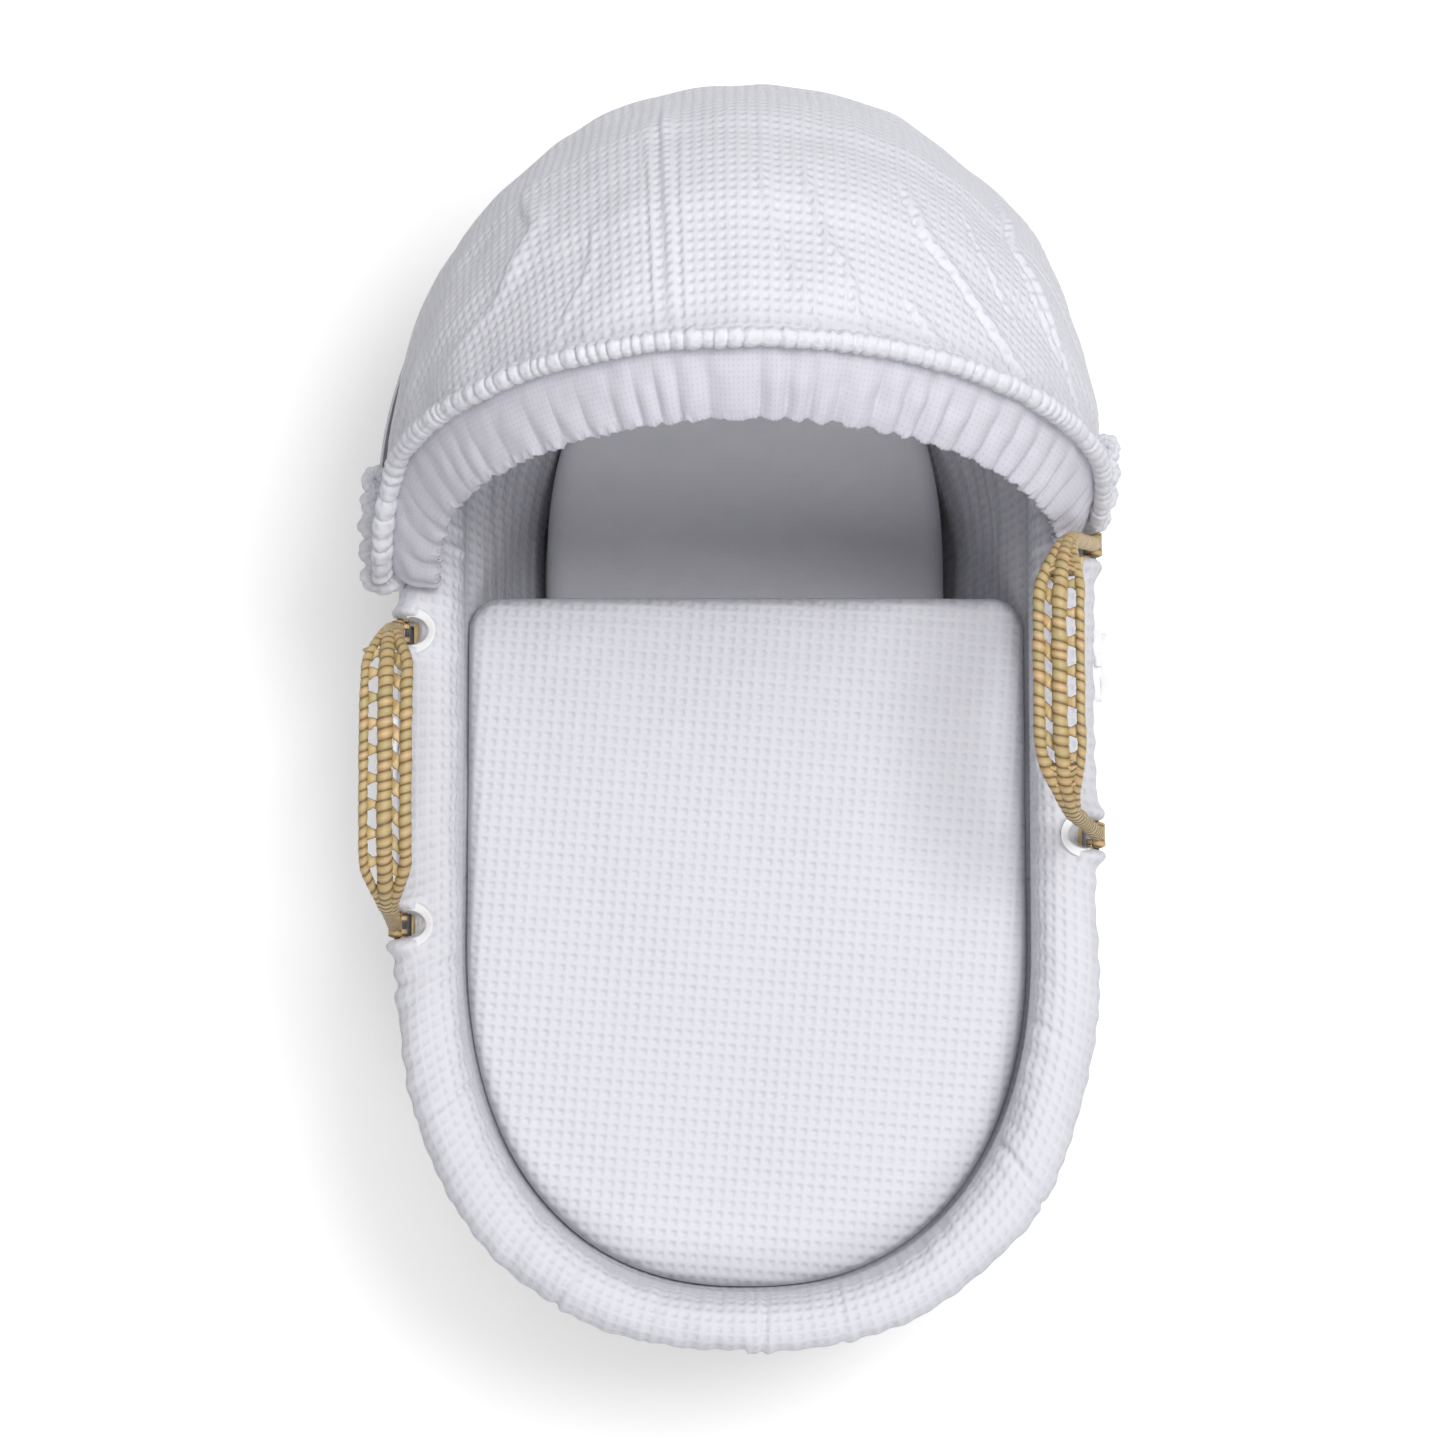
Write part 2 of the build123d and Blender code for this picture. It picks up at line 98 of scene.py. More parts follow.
# ---------------------------------------------------------------- materials
class Look:
    """A material, with short ways to add nodes to it."""

    def __init__(self, name, roughness, sheen=0.0, coat=0.0):
        self.material = bpy.data.materials.new(name)
        self.material.use_nodes = True
        self.tree = self.material.node_tree
        self.shader = self.tree.nodes["Principled BSDF"]
        self.shader.inputs["Roughness"].default_value = roughness
        self.shader.inputs["Sheen Weight"].default_value = sheen
        self.shader.inputs["Sheen Roughness"].default_value = 0.5
        self.shader.inputs["Coat Weight"].default_value = coat
        self.shader.inputs["Coat Roughness"].default_value = 0.45

    def add(self, kind, sockets=None, **settings):
        node = self.tree.nodes.new(kind)
        for key, value in settings.items():
            setattr(node, key, value)
        for key, value in (sockets or {}).items():
            self.put(value, node.inputs[key])
        return node

    def put(self, value, socket):
        if isinstance(value, bpy.types.NodeSocket):
            self.tree.links.new(value, socket)
        else:
            socket.default_value = value

    def math(self, operation, a, b=0.0):
        return self.add("ShaderNodeMath", {0: a, 1: b}, operation=operation).outputs[0]

    def wave(self, value, turns=1.0, lead=0.0):
        """0 where turns x value is whole, 1 half way between. Lead moves both on."""
        turned = self.math("COSINE", self.scale(value, TAU * turns, -TAU * lead))
        return self.scale(turned, -0.5, 0.5)

    def scale(self, value, gain, offset=0.0):
        sockets = {0: value, 1: gain, 2: offset}
        return self.add("ShaderNodeMath", sockets, operation="MULTIPLY_ADD").outputs[0]

    def uv(self):
        """The cloth's own flat coordinates, in cells or strips."""
        node = self.add("ShaderNodeUVMap", uv_map="cloth")
        parts = self.add("ShaderNodeSeparateXYZ", {0: node.outputs[0]})
        return node.outputs[0], parts.outputs[0], parts.outputs[1]

    def place(self):
        return self.add("ShaderNodeTexCoord").outputs["Object"]

    def noise(self, vector, scale, detail=2.0):
        sockets = {"Vector": vector, "Scale": scale, "Detail": detail}
        return self.add("ShaderNodeTexNoise", sockets).outputs["Fac"]

    def stretched(self, vector, scale):
        sockets = {"Vector": vector, "Scale": scale}
        return self.add("ShaderNodeMapping", sockets).outputs[0]

    def mix(self, share, low, high):
        node = self.add("ShaderNodeMix", data_type="RGBA")
        self.put(share, node.inputs[0])
        for value, socket in ((low, node.inputs[6]), (high, node.inputs[7])):
            self.put(value if isinstance(value, bpy.types.NodeSocket) else (*value, 1), socket)
        return node.outputs[2]

    def finish(self, colour, height, depth):
        sockets = {"Strength": 1.0, "Distance": depth * MM, "Height": height}
        bump = self.add("ShaderNodeBump", sockets)
        self.put(bump.outputs[0], self.shader.inputs["Normal"])
        self.put(colour, self.shader.inputs["Base Color"])
        return self.material


def waffle_look(name, light, dark, pit_shadow_share=0.5):
    """Honeycomb weave: square pits between raised threads, with a fine thread grain and painted shadow in
    the pits.
    """
    look = Look(name, 0.95, sheen=0.08)
    flat, across, along = look.uv()
    hollow = look.math("MULTIPLY", look.wave(across), look.wave(along))
    # Painted shadow: a dark dash on the head-side wall of each pit and a fainter one on a side wall, mixed
    # into the colour
    head_wall_shadow = look.math("POWER", look.wave(along, lead=0.2), 4.0)
    side_wall_shadow = look.math("POWER", look.wave(across, lead=0.22), 5.0)
    pit_shadow_dash = look.math("MULTIPLY", look.wave(across), head_wall_shadow)
    side = look.math("MULTIPLY", look.wave(along), side_wall_shadow)
    spots = look.noise(flat, 0.6, 1.0)
    patch = look.noise(flat, 0.05)
    shade = look.math("ADD", pit_shadow_dash, look.scale(side, 0.4))
    shade = look.math("MULTIPLY", shade, look.scale(spots, 1.1, 0.25))
    shade = look.math("MULTIPLY", shade, pit_shadow_share)
    tone = look.mix(patch, light, [0.965 * c for c in light])
    colour = look.mix(shade, tone, dark)
    grain = look.math("MULTIPLY", look.wave(across, 8.0), look.wave(along, 8.0))
    fuzz = look.noise(flat, 9.0, 4.0)
    height = look.math("ADD", look.scale(grain, 0.35), look.scale(fuzz, 0.3))
    height = look.math("SUBTRACT", height, look.scale(hollow, 0.8))
    return look.finish(colour, height, 0.5)


def smooth_cloth_look(name, light, dark, streak=1.0, pits=0.0):
    """Fine knit or the plain reverse of the waffle cloth, with faint courses, and painted shade in the pits
    where pits is given.
    """
    look = Look(name, 0.93, sheen=0.12)
    flat, across, along = look.uv()
    courses = look.noise(look.stretched(flat, (0.25, 9.0, 1.0)), 1.2, 3.0)
    mottle = look.noise(flat, 0.5, 3.0)
    streaks = look.scale(courses, 0.6 * streak, -0.2)
    share = look.math("ADD", streaks, look.scale(mottle, 0.5, -0.1))
    colour = look.mix(share, light, dark)
    if pits:
        # Painted shade: the middle of each pit is darkened, deeper than the dark colour
        pit_shade = look.math("MULTIPLY", look.wave(across), look.wave(along))
        pit_shade = look.math("MULTIPLY", look.math("POWER", pit_shade, 4.0), pits)
        colour = look.mix(pit_shade, colour, [0.6 * c for c in dark])
    threads = look.math("MULTIPLY", look.wave(across, 6.0), look.wave(along, 6.0))
    height = look.math("ADD", look.scale(threads, 0.5), look.scale(mottle, 0.8))
    return look.finish(colour, height, 0.25)


PALM_LIGHT = (0.58, 0.42, 0.19)
PALM_DARK = (0.26, 0.16, 0.06)
PALM_GREEN = (0.42, 0.36, 0.16)
PALM_ORANGE = (0.56, 0.34, 0.14)
PALM_PAINTED_HIGHLIGHT = (0.84, 0.72, 0.48)


def palm_strip_look(name):
    """Split palm leaf: each strip has its own tone, long fibres, a painted highlight along its crown and a
    shaded edge.
    """
    look = Look(name, 0.48, coat=0.15)
    flat, across, _ = look.uv()
    number = look.math("FLOOR", across)
    first, second = (
        look.add("ShaderNodeTexWhiteNoise", {"W": value}, noise_dimensions="1D").outputs[0]
        for value in (number, look.math("ADD", number, 71.5))
    )
    grain = look.noise(look.stretched(flat, (16.0, 0.7, 1.0)), 1.8, 4.0)
    spots = look.noise(flat, 1.4, 3.0)
    tone = look.mix(first, PALM_LIGHT, PALM_GREEN)
    tone = look.mix(look.math("POWER", second, 2.0), tone, PALM_ORANGE)
    tone = look.mix(look.scale(grain, 1.1, -0.35), tone, PALM_DARK)
    tone = look.mix(look.scale(spots, 0.9, -0.45), tone, PALM_DARK)
    # Painted highlight: the crown of each strip is mixed towards a pale colour.
    crown = look.math("POWER", look.wave(across), 3.0)
    crown = look.math("MULTIPLY", crown, look.scale(second, 0.3, 0.05))
    tone = look.mix(crown, tone, PALM_PAINTED_HIGHLIGHT)
    rim = look.math("POWER", look.scale(look.wave(across), -1.0, 1.0), 7.0)
    colour = look.mix(look.math("MULTIPLY", rim, 0.75), tone, [0.3 * c for c in PALM_DARK])
    height = look.math("SUBTRACT", look.scale(grain, 0.5), rim)
    return look.finish(colour, height, 0.45)


def palm_solid_look(name):
    """Palm leaf for plain solids, with fibres along the basket."""
    look = Look(name, 0.55, coat=0.1)
    where = look.place()
    grain = look.noise(look.stretched(where, (900.0, 60.0, 900.0)), 1.0, 4.0)
    patch = look.noise(where, 90.0, 2.0)
    tone = look.mix(patch, PALM_LIGHT, PALM_GREEN)
    colour = look.mix(look.scale(grain, 1.2, -0.2), tone, PALM_DARK)
    return look.finish(colour, grain, 0.4)


def solid_look(name, light, dark, roughness, scale, depth):
    """Plain surface with a fine grain, for the solids that barely show."""
    look = Look(name, roughness)
    where = look.place()
    fine = look.noise(where, scale, 4.0)
    broad = look.noise(where, scale / 12, 2.0)
    colour = look.mix(look.math("MULTIPLY", fine, broad), light, dark)
    return look.finish(colour, fine, depth)


# ---------------------------------------------------------------- mesh making
def smooth(value, low, high):
    """0 up to low, 1 from high on, and a soft step between."""
    t = np.clip((np.asarray(value, float) - low) / (high - low), 0, 1)
    return t * t * (3 - 2 * t)


def bell(value, width):
    """1 where the value is 0, falling away to almost 0 at twice the width."""
    return np.exp(-((value / width) ** 2))


def ripple(u, v, size, seed, count=18):
    """Smooth wandering height, about -1 to 1, whose lumps are about size across."""
    draw = np.random.default_rng(seed)
    total = np.zeros(np.broadcast(u, v).shape)
    for _ in range(count):
        angle = draw.uniform(0, TAU)
        stretch = draw.uniform(0.6, 1.5)
        phase = draw.uniform(0, TAU)
        k = TAU * stretch / size
        total += np.cos(k * (u * math.cos(angle) + v * math.sin(angle)) + phase)
    return total / math.sqrt(2 * count)


def pits(u, v):
    """Waffle height: 0 on the ridges at whole numbers, -1 in the middle of each pit."""
    a = 0.5 + 0.5 * np.cos(TAU * u)
    b = 0.5 + 0.5 * np.cos(TAU * v)
    return -(1 - a) * (1 - b)


def slope_of(points, axis, closed):
    if closed:
        return np.roll(points, -1, axis) - np.roll(points, 1, axis)
    return np.gradient(points, axis=axis)


def normals(points, closed_u, closed_v):
    n = np.cross(slope_of(points, 0, closed_u), slope_of(points, 1, closed_v))
    return n / np.maximum(np.linalg.norm(n, axis=2, keepdims=True), 1e-9)


def raised(points, height, closed_u=False, closed_v=False):
    return points + normals(points, closed_u, closed_v) * height[..., None]


def enclosed(points, faces, caps):
    """Six times the volume inside the faces, which is negative where they face inwards."""
    near = points - points.mean(0)
    a, b, c, d = (near[faces[:, k]] for k in range(4))
    total = (np.cross(a, b) * c).sum() + (np.cross(a, c) * d).sum()
    for cap in caps:
        cap = near[np.array(cap)]
        total += (np.cross(cap[1:-1], cap[2:]) * cap[0]).sum()
    return total


def build(name, points, faces, corners, cloth, look, caps=()):
    """Mesh object from points in millimetres. Corners index cloth, the flat coordinates."""
    if enclosed(points, faces, caps) < 0:
        faces, corners = faces[:, ::-1], corners[:, ::-1]
        caps = [cap[::-1] for cap in caps]
    mesh = bpy.data.meshes.new(name)
    loops = [faces.ravel()] + [np.array(cap) for cap in caps]
    flat = np.concatenate(loops).astype(np.int32)
    sizes = np.array([faces.shape[1]] * len(faces) + [len(cap) for cap in caps])
    starts = np.concatenate([[0], np.cumsum(sizes)[:-1]]).astype(np.int32)
    mesh.vertices.add(len(points))
    mesh.vertices.foreach_set("co", (points * MM).astype(np.float32).ravel())
    mesh.loops.add(len(flat))
    mesh.loops.foreach_set("vertex_index", flat)
    mesh.polygons.add(len(sizes))
    mesh.polygons.foreach_set("loop_start", starts)
    mesh.polygons.foreach_set("use_smooth", np.ones(len(sizes), bool))
    mesh.update(calc_edges=True)
    layer = mesh.uv_layers.new(name="cloth")
    coords = np.zeros((len(flat), 2), np.float32)
    coords[: corners.size] = cloth.reshape(-1, 2)[corners.ravel()]
    layer.data.foreach_set("uv", coords.ravel())
    mesh.validate()
    mesh.materials.append(look)
    piece = bpy.data.objects.new(name, mesh)
    bpy.context.collection.objects.link(piece)
    return piece


def grid(name, points, flat, look, wrap_u=None, wrap_v=(0, 0)):
    """Piece from a (u, v) array of points, and their two flat coordinates.

    A wrap says how much each flat coordinate grows where the array closes on itself, and is None
    where the array is open. An array that closes along v alone is a tube, and gets end caps.
    """
    nu, nv = points.shape[:2]
    cloth = np.stack([np.broadcast_to(part, (nu, nv)) for part in flat], -1)
    if wrap_u:
        cloth = np.concatenate([cloth, cloth[:1] + np.array(wrap_u, float)], 0)
    if wrap_v:
        cloth = np.concatenate([cloth, cloth[:, :1] + np.array(wrap_v, float)], 1)
    wide = cloth.shape[1]
    rows = np.arange(nu if wrap_u else nu - 1)
    columns = np.arange(nv if wrap_v else nv - 1)
    a, b = (part.ravel() for part in np.meshgrid(rows, columns, indexing="ij"))
    ring = ((a, b), (a + 1, b), (a + 1, b + 1), (a, b + 1))
    faces = np.stack([(i % nu) * nv + j % nv for i, j in ring], 1)
    corners = np.stack([i * wide + j for i, j in ring], 1)
    caps = ()
    if wrap_v and not wrap_u:
        caps = [list(range(nv)), list(range(nu * nv - 1, (nu - 1) * nv - 1, -1))]
    return build(name, points.reshape(-1, 3), faces, corners, cloth, look, caps)


def shell(name, face, back, flat, look):
    """Thin closed piece between two open arrays of points that pair up."""
    loop = np.concatenate([face, back[:, ::-1]], 1)
    return grid(name, loop, [np.concatenate([part, part[:, ::-1]], 1) for part in flat], look)


def reworked(piece, change):
    """Makes a bmesh change to the piece's mesh."""
    work = bmesh.new()
    work.from_mesh(piece.data)
    change(work)
    work.to_mesh(piece.data)
    work.free()


def joined(name, pieces):
    bpy.ops.object.select_all(action="DESELECT")
    for piece in pieces:
        piece.select_set(True)
    bpy.context.view_layer.objects.active = pieces[0]
    bpy.ops.object.join()
    pieces[0].name = name
    pieces[0].data.name = name
    return pieces[0]


def settle(piece, body, slot, *nodes):
    """Puts the piece on a body and hides the CAD nodes that it stands for. The finish slot is not used."""
    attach(piece, body)
    if nodes:
        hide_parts(*nodes)
    return piece


# ---------------------------------------------------------------- the basket's oval
STRAIGHT_SHARE = 0.38
HEAD_EXPONENT = 1.9
FOOT_EXPONENT = 2.3


def oval(width, length, shares, head=HEAD_EXPONENT):
    """Points at shares of the way round the oval, from the middle of the foot past +X."""
    straight = STRAIGHT_SHARE * length
    depth = length - straight
    t = np.linspace(0, math.pi / 2, 700)

    def quarter(exponent):
        power = 2 / exponent
        return width * np.abs(np.cos(t)) ** power, straight + depth * np.sin(t) ** power

    foot_x, foot_y = quarter(FOOT_EXPONENT)
    head_x, head_y = quarter(head)
    x = np.concatenate([foot_x[::-1], head_x])
    y = np.concatenate([-foot_y[::-1], head_y])
    run = np.concatenate([[0], np.cumsum(np.hypot(np.diff(x), np.diff(y)))])
    shares = np.asarray(shares, float) % 1
    way = np.minimum(shares, 1 - shares) * 2 * run[-1]
    side = np.where(shares > 0.5, -1.0, 1.0)
    return np.stack([side * np.interp(way, run, x), np.interp(way, run, y)], -1)


def tiers(sizes, shares, head=HEAD_EXPONENT):
    """Ovals one above another, from the half width, half length and height of each."""
    level = np.ones(len(shares))
    return np.stack([np.c_[oval(wide, long, shares, head), z * level] for wide, long, z in sizes], 1)


def palm_size(z):
    """Half width and half length of the palm wall at a height."""
    share = z / 240
    return 168 + 50 * share, 360 + 42 * share


def evenly(path, count):
    """Path resampled to count points at even distances, and its length."""
    path = np.asarray(path, float)
    run = np.concatenate([[0], np.cumsum(np.linalg.norm(np.diff(path, axis=0), axis=1))])
    at = np.linspace(0, run[-1], count)
    return np.stack([np.interp(at, run, path[:, k]) for k in range(path.shape[1])], -1), run[-1]


# Each handle: the side of the basket, the middle along Y, and its lean outwards in degrees.
HANDLES = {"left": (-1, -38.0, 3.0), "right": (1, 22.0, 16.0)}
LEG = 98.0  # from a handle's middle to each of its legs
HINGE_X = 235
HINGE_Z = 250


# ---------------------------------------------------------------- rim roll
ROLL_HALF = 21  # half its width
ROLL_EXPONENT = 2.4  # squareness of its arch

# Creases over the roll: the place in X and Y, then the width and depth.
ROLL_CREASES = (
    (-117, -372, 3.0, 3.2), (160, -290, 3.2, 3.4), (12, -400, 2.6, 3.0), (-214, -170, 4.0, 2.6),
    (-205, -255, 3.0, 1.8), (205, -215, 3.2, 1.8), (62, -396, 2.4, 1.6), (-62, -394, 2.6, 1.5),
    (214, 180, 3.0, 1.6), (-214, 120, 3.0, 1.8),
)


def rim_roll(look):
    """Padded roll on the rim, notched round each leg of the handles."""
    shares = np.arange(RING_STEPS) / RING_STEPS
    outer = oval(235, 418, shares)
    inner = oval(193, 381, shares)
    turn = np.linspace(math.pi, 0, 60)
    power = 2 / ROLL_EXPONENT
    across = ROLL_HALF + ROLL_HALF * np.sign(np.cos(turn)) * np.abs(np.cos(turn)) ** power
    up = 236 + 26 * np.abs(np.sin(turn)) ** power
    arch, girth = evenly([(0, 213), *zip(across, up), (2 * ROLL_HALF, 213)], 58)
    under = np.array([
        (37, 211.5), (32.8, 213), (32.6, 232), (32.4, 251), (20, 251.5),
        (10.4, 251), (10.2, 232), (10, 213), (5, 211.5),
    ])
    section = np.concatenate([arch, under])
    top = len(arch)
    share = section[:, 0] / (2 * ROLL_HALF)
    xy = inner[:, None] * (1 - share)[None, :, None] + outer[:, None] * share[None, :, None]
    z = np.broadcast_to(section[:, 1], xy.shape[:2]).copy()
    points = np.concatenate([xy, z[..., None]], -1)
    x, y = points[..., 0], points[..., 1]
    around = shares * RING_GIRTH
    u = (around / (RING_GIRTH / RING_CELLS))[:, None] * np.ones(len(section))
    v = np.linspace(0, girth, top)
    v = np.concatenate([v, girth + np.arange(1, len(under) + 1) * 8]) / CELL
    v = np.broadcast_to(v, u.shape)
    cover = np.zeros(len(section))
    cover[1:top - 1] = 1
    crown = np.concatenate([smooth(arch[:, 1], 222, 246), np.zeros(len(under))])
    lump = 1.3 * ripple(around[:, None], v * CELL, 90, 3)
    lump = lump + 0.7 * ripple(around[:, None], v * CELL, 34, 5)
    pucker = 0.55 * np.cos(TAU * around / 17.5 + 2.2 * ripple(around, 0, 120, 9))[:, None]
    height = lump * crown + pucker * crown * smooth(np.abs(section[:, 0] - ROLL_HALF), 6, 17)
    for cx, cy, wide, deep in ROLL_CREASES:
        middle = np.argmin(np.hypot(points[:, 29, 0] - cx, points[:, 29, 1] - cy))
        gap = (around - around[middle] + RING_GIRTH / 2) % RING_GIRTH - RING_GIRTH / 2
        gap = gap[:, None] + 0.12 * (section[:, 0] - ROLL_HALF)[None, :]
        height += crown * (0.35 * deep * bell(gap, 2.6 * wide) - deep * bell(gap, wide))
    height += 0.85 * pits(u, v) * cover
    points = raised(points, -height, True, True)
    x, y, z = (points[..., k] for k in range(3))
    for way, centre, _ in HANDLES.values():
        for leg in (centre - LEG, centre + LEG):
            aside = np.abs(y - leg)
            out = way * x
            bulge = bell(aside - 14.5, 5.5) * smooth(out, 208, 226) * smooth(z, 225, 240)
            out = out + 5.0 * bulge
            z = z + 4.5 * bulge * smooth(out, 212, 222) * (z > 236)
            near = 1 - smooth(aside, 6.5, 10.5)
            squeezed = np.where(out > 205, 205 + (out - 205) * 18 / 30.8, out)
            out = np.where(out > 150, out + (squeezed - out) * near, out)
            limit = 248.8 + np.maximum(0, 226 - out)
            z = z - near * smooth(out, 200, 207) * np.maximum(0, z - limit)
            x = np.where(way * x > 150, way * out, x)
    points = np.stack([x, y, z], -1)
    piece = grid("rim_roll", points, (u, v), look, (RING_CELLS, 0))
    settle(piece, "root", "padded_waffle", "liner_rim_roll")


# ---------------------------------------------------------------- liner wall and floor
def liner_wall(name, shares, rows, look):
    """Padded lining of the palm wall over part of the way round."""
    heights = np.concatenate([np.linspace(217, 16, rows), [15.2, 60, 120, 190, 216.5]])
    inset = np.concatenate([21.8 - 8.3 * smooth(heights[:rows], 168, 190), [19, 12.5, 12, 11, 10.8]])
    sizes = [(*(size - gap for size in palm_size(z)), z) for z, gap in zip(heights, inset)]
    points = tiers(sizes, shares)
    u = (shares * 1900 / CELL)[:, None] * np.ones(len(heights))
    v = np.concatenate([np.linspace(0, 207 / CELL, rows), 207 / CELL + np.arange(1, 6)])
    v = np.broadcast_to(v, u.shape)
    face = np.concatenate([np.ones(rows), np.zeros(5)])
    face[0] = face[rows - 1] = 0
    around = u * CELL
    sag = np.cos(TAU * (v * CELL / 26 + 0.7 * ripple(around, v * CELL, 260, 12)))
    calm = 1 - 0.6 * smooth(np.broadcast_to(heights, u.shape), 165, 190)
    swell = calm * (0.9 * ripple(around, v * CELL, 75, 11) + 0.7 * sag)
    points = raised(points, face * (swell + 0.8 * pits(u, v)), False, True)
    return grid(name, points, (u, v), look)


# ---------------------------------------------------------------- outside skirt
def skirt(look):
    shares = np.arange(RING_STEPS) / RING_STEPS
    around = shares * RING_GIRTH
    run = np.linspace(0, 1, 60)
    top, drop = 216, 127
    inside = ((1.4, 88.2), (3.0, 89.0), (4.2, 94), (3.8, 130), (3.4, 170), (3.0, 215))

    def size(share, gap, level):
        width = 233.8 - 34.5 * share + 3.0 * math.sin(math.pi * min(share, 1)) - gap
        return width, width + 183, level

    sizes = [size(share, 0, top - drop * share) for share in run]
    sizes += [size((top - level) / drop, gap, level) for gap, level in inside]
    points = tiers(sizes, shares)
    fold = smooth(np.concatenate([run, [1, 1, 0.98, 0.68, 0.36, 0.01]]), 0.05, 1.0)
    gather = np.sin(TAU * around / 13 + 2.5 * ripple(around, 0, 90, 21))
    broad = ripple(around, 0, 60, 22)
    v = np.concatenate([run * 124 / CELL, 20 + np.arange(1, 7)])
    u = (around / (RING_GIRTH / RING_CELLS))[:, None] * np.ones(len(v))
    v = np.broadcast_to(v, u.shape)
    swell = fold * (1.5 * gather[:, None] + 1.6 * broad[:, None])
    swell = swell + 0.5 * ripple(around[:, None], v * CELL, 50, 23)
    pinch = 1.3 * bell(v * CELL - 117, 2.2)
    outside = np.concatenate([np.ones(60), np.zeros(6)])
    out = normals(points, True, True) * (1 - 2 * outside)[:, None]
    outside[0] = 0
    height = swell * (v > 0.5) + (0.7 * pits(u, v) - pinch) * outside
    points = points + out * height[..., None]
    piece = grid("skirt_cloth", points, (u, v), look, (RING_CELLS, 0))
    settle(piece, "root", "waffle_cloth", "skirt")


# ---------------------------------------------------------------- palm body
def palm_body(look):
    """Plaited leaf bands sewn in level rounds: each band is a chevron of slanted strips."""
    columns, girth, leaf, band = 1180, 1840, 9.0, 15.0
    shares = np.arange(columns) / columns
    low = np.arange(0, 118, 1.9)
    high = np.arange(124, 230, 15)
    z = np.concatenate([low, high, [231.6, 160.0, 80.0, 10.6]])
    gap = np.concatenate([np.zeros(len(low) + len(high)), [5, 9.8, 9.8, 9.8]])
    sizes = [(*(size - inset for size in palm_size(level)), level) for level, inset in zip(z, gap)]
    points = tiers(sizes, shares)
    around = (shares * girth)[:, None] * np.ones(len(z))
    level = np.broadcast_to(z, around.shape)
    row = np.floor(level / band)
    within = level / band - row
    way = np.where(row % 2 == 0, 1.0, -1.0)
    strips = round(girth / leaf)
    across = around * strips / girth + way * (within - 0.5) * 1.25
    seam = bell(np.minimum(within, 1 - within) * band, 1.1)
    crown = np.sqrt(np.clip(1 - (2 * (across % 1) - 1) ** 2, 0, 1))
    face = np.concatenate([np.ones(len(low)), 0.4 * np.ones(len(high)), np.zeros(4)])
    points = raised(points, face * (1.1 * crown - 1.1 - 1.5 * seam), True, True)
    piece = grid("palm_weave", points, (across, level / leaf + row * 3.3), look, (strips, 0))
    settle(piece, "root", "palm_leaf", "palm_wall")


# ---------------------------------------------------------------- mattress
def mattress(look):
    """Foam in its fitted sheet: ovals from the middle of the top round to that of the bottom."""
    columns, width, length = 360, 146, 335
    shares = np.arange(columns) / columns
    bend = np.linspace(0.12, math.pi / 2, 9)
    profile = [(width, 71.0), (120, 71.0), (90, 70.9), (60, 70.7), (30, 70.2), (18, 69.6)]
    profile += [(16 - 16 * math.sin(a), 53.5 + 16 * math.cos(a)) for a in bend]
    profile += [(0, 46), (0, 38), (0.6, 28), (3, 20), (9, 15.2), (30, 14.6), (80, 14.6)]
    profile += [(width, 14.6)]
    dense = []
    for (k0, z0), (k1, z1) in zip(profile[:-1], profile[1:]):
        count = max(1, int(math.hypot(k1 - k0, z1 - z0) / 4))
        for i in range(count):
            dense.append((k0 + (k1 - k0) * i / count, z0 + (z1 - z0) * i / count))
    dense.append(profile[-1])
    points = tiers([(max(width - k, 0), length - k, z) for k, z in dense], shares, 2.3)
    x, y = points[..., 0], points[..., 1]
    drag = 0.6 * ripple(x, 3.5 * y, 120, 31) + 0.5 * ripple(x, y, 60, 32)
    level = np.broadcast_to(np.array([z for _, z in dense]), x.shape)
    points[..., 2] += drag * smooth(level, 60, 70)
    side = (level > 16) & (level < 68)
    tuck = 0.5 * np.cos(TAU * (shares * 960 / 11))[:, None] * smooth(level, 40, 18) * side
    points += normals(points, True, False) * tuck[..., None]
    piece = grid("mattress_sheet", points, (x / CELL, (y + level) / CELL), look, (0, 0), None)
    reworked(piece, lambda work: bmesh.ops.remove_doubles(work, verts=work.verts, dist=1e-6))
    settle(piece, "mattress", "jersey_sheet", "fitted_sheet", "mattress_foam")


# ---------------------------------------------------------------- coverlet
QUILT_WIDTH = 191.4
QUILT_LENGTH = 379.4
QUILT_HEAD = 90.0
QUILT_CORNER = 22.0
QUILT_TURN = 11.0
# How far out and up each ring under the quilt's edge stands from it, at the sides and at the head.
QUILT_SIDE = (
    (0.2, -3), (-0.5, -9), (-3, -22), (-8, -45), (-14, -70), (-21, -96), (-26, -116),
    (-28, -119), (-33, -117), (-30, -95), (-23, -60), (-18, -30), (-18, -16),
)
QUILT_HEAD_EDGE = (
    (0.6, -1.5), (0.6, -3), (0.2, -5), (-0.8, -6.5), (-2, -8), (-4, -9.3), (-6, -10),
    (-8, -10), (-10, -10), (-12, -10), (-14, -10), (-16, -10), (-18, -10),
)


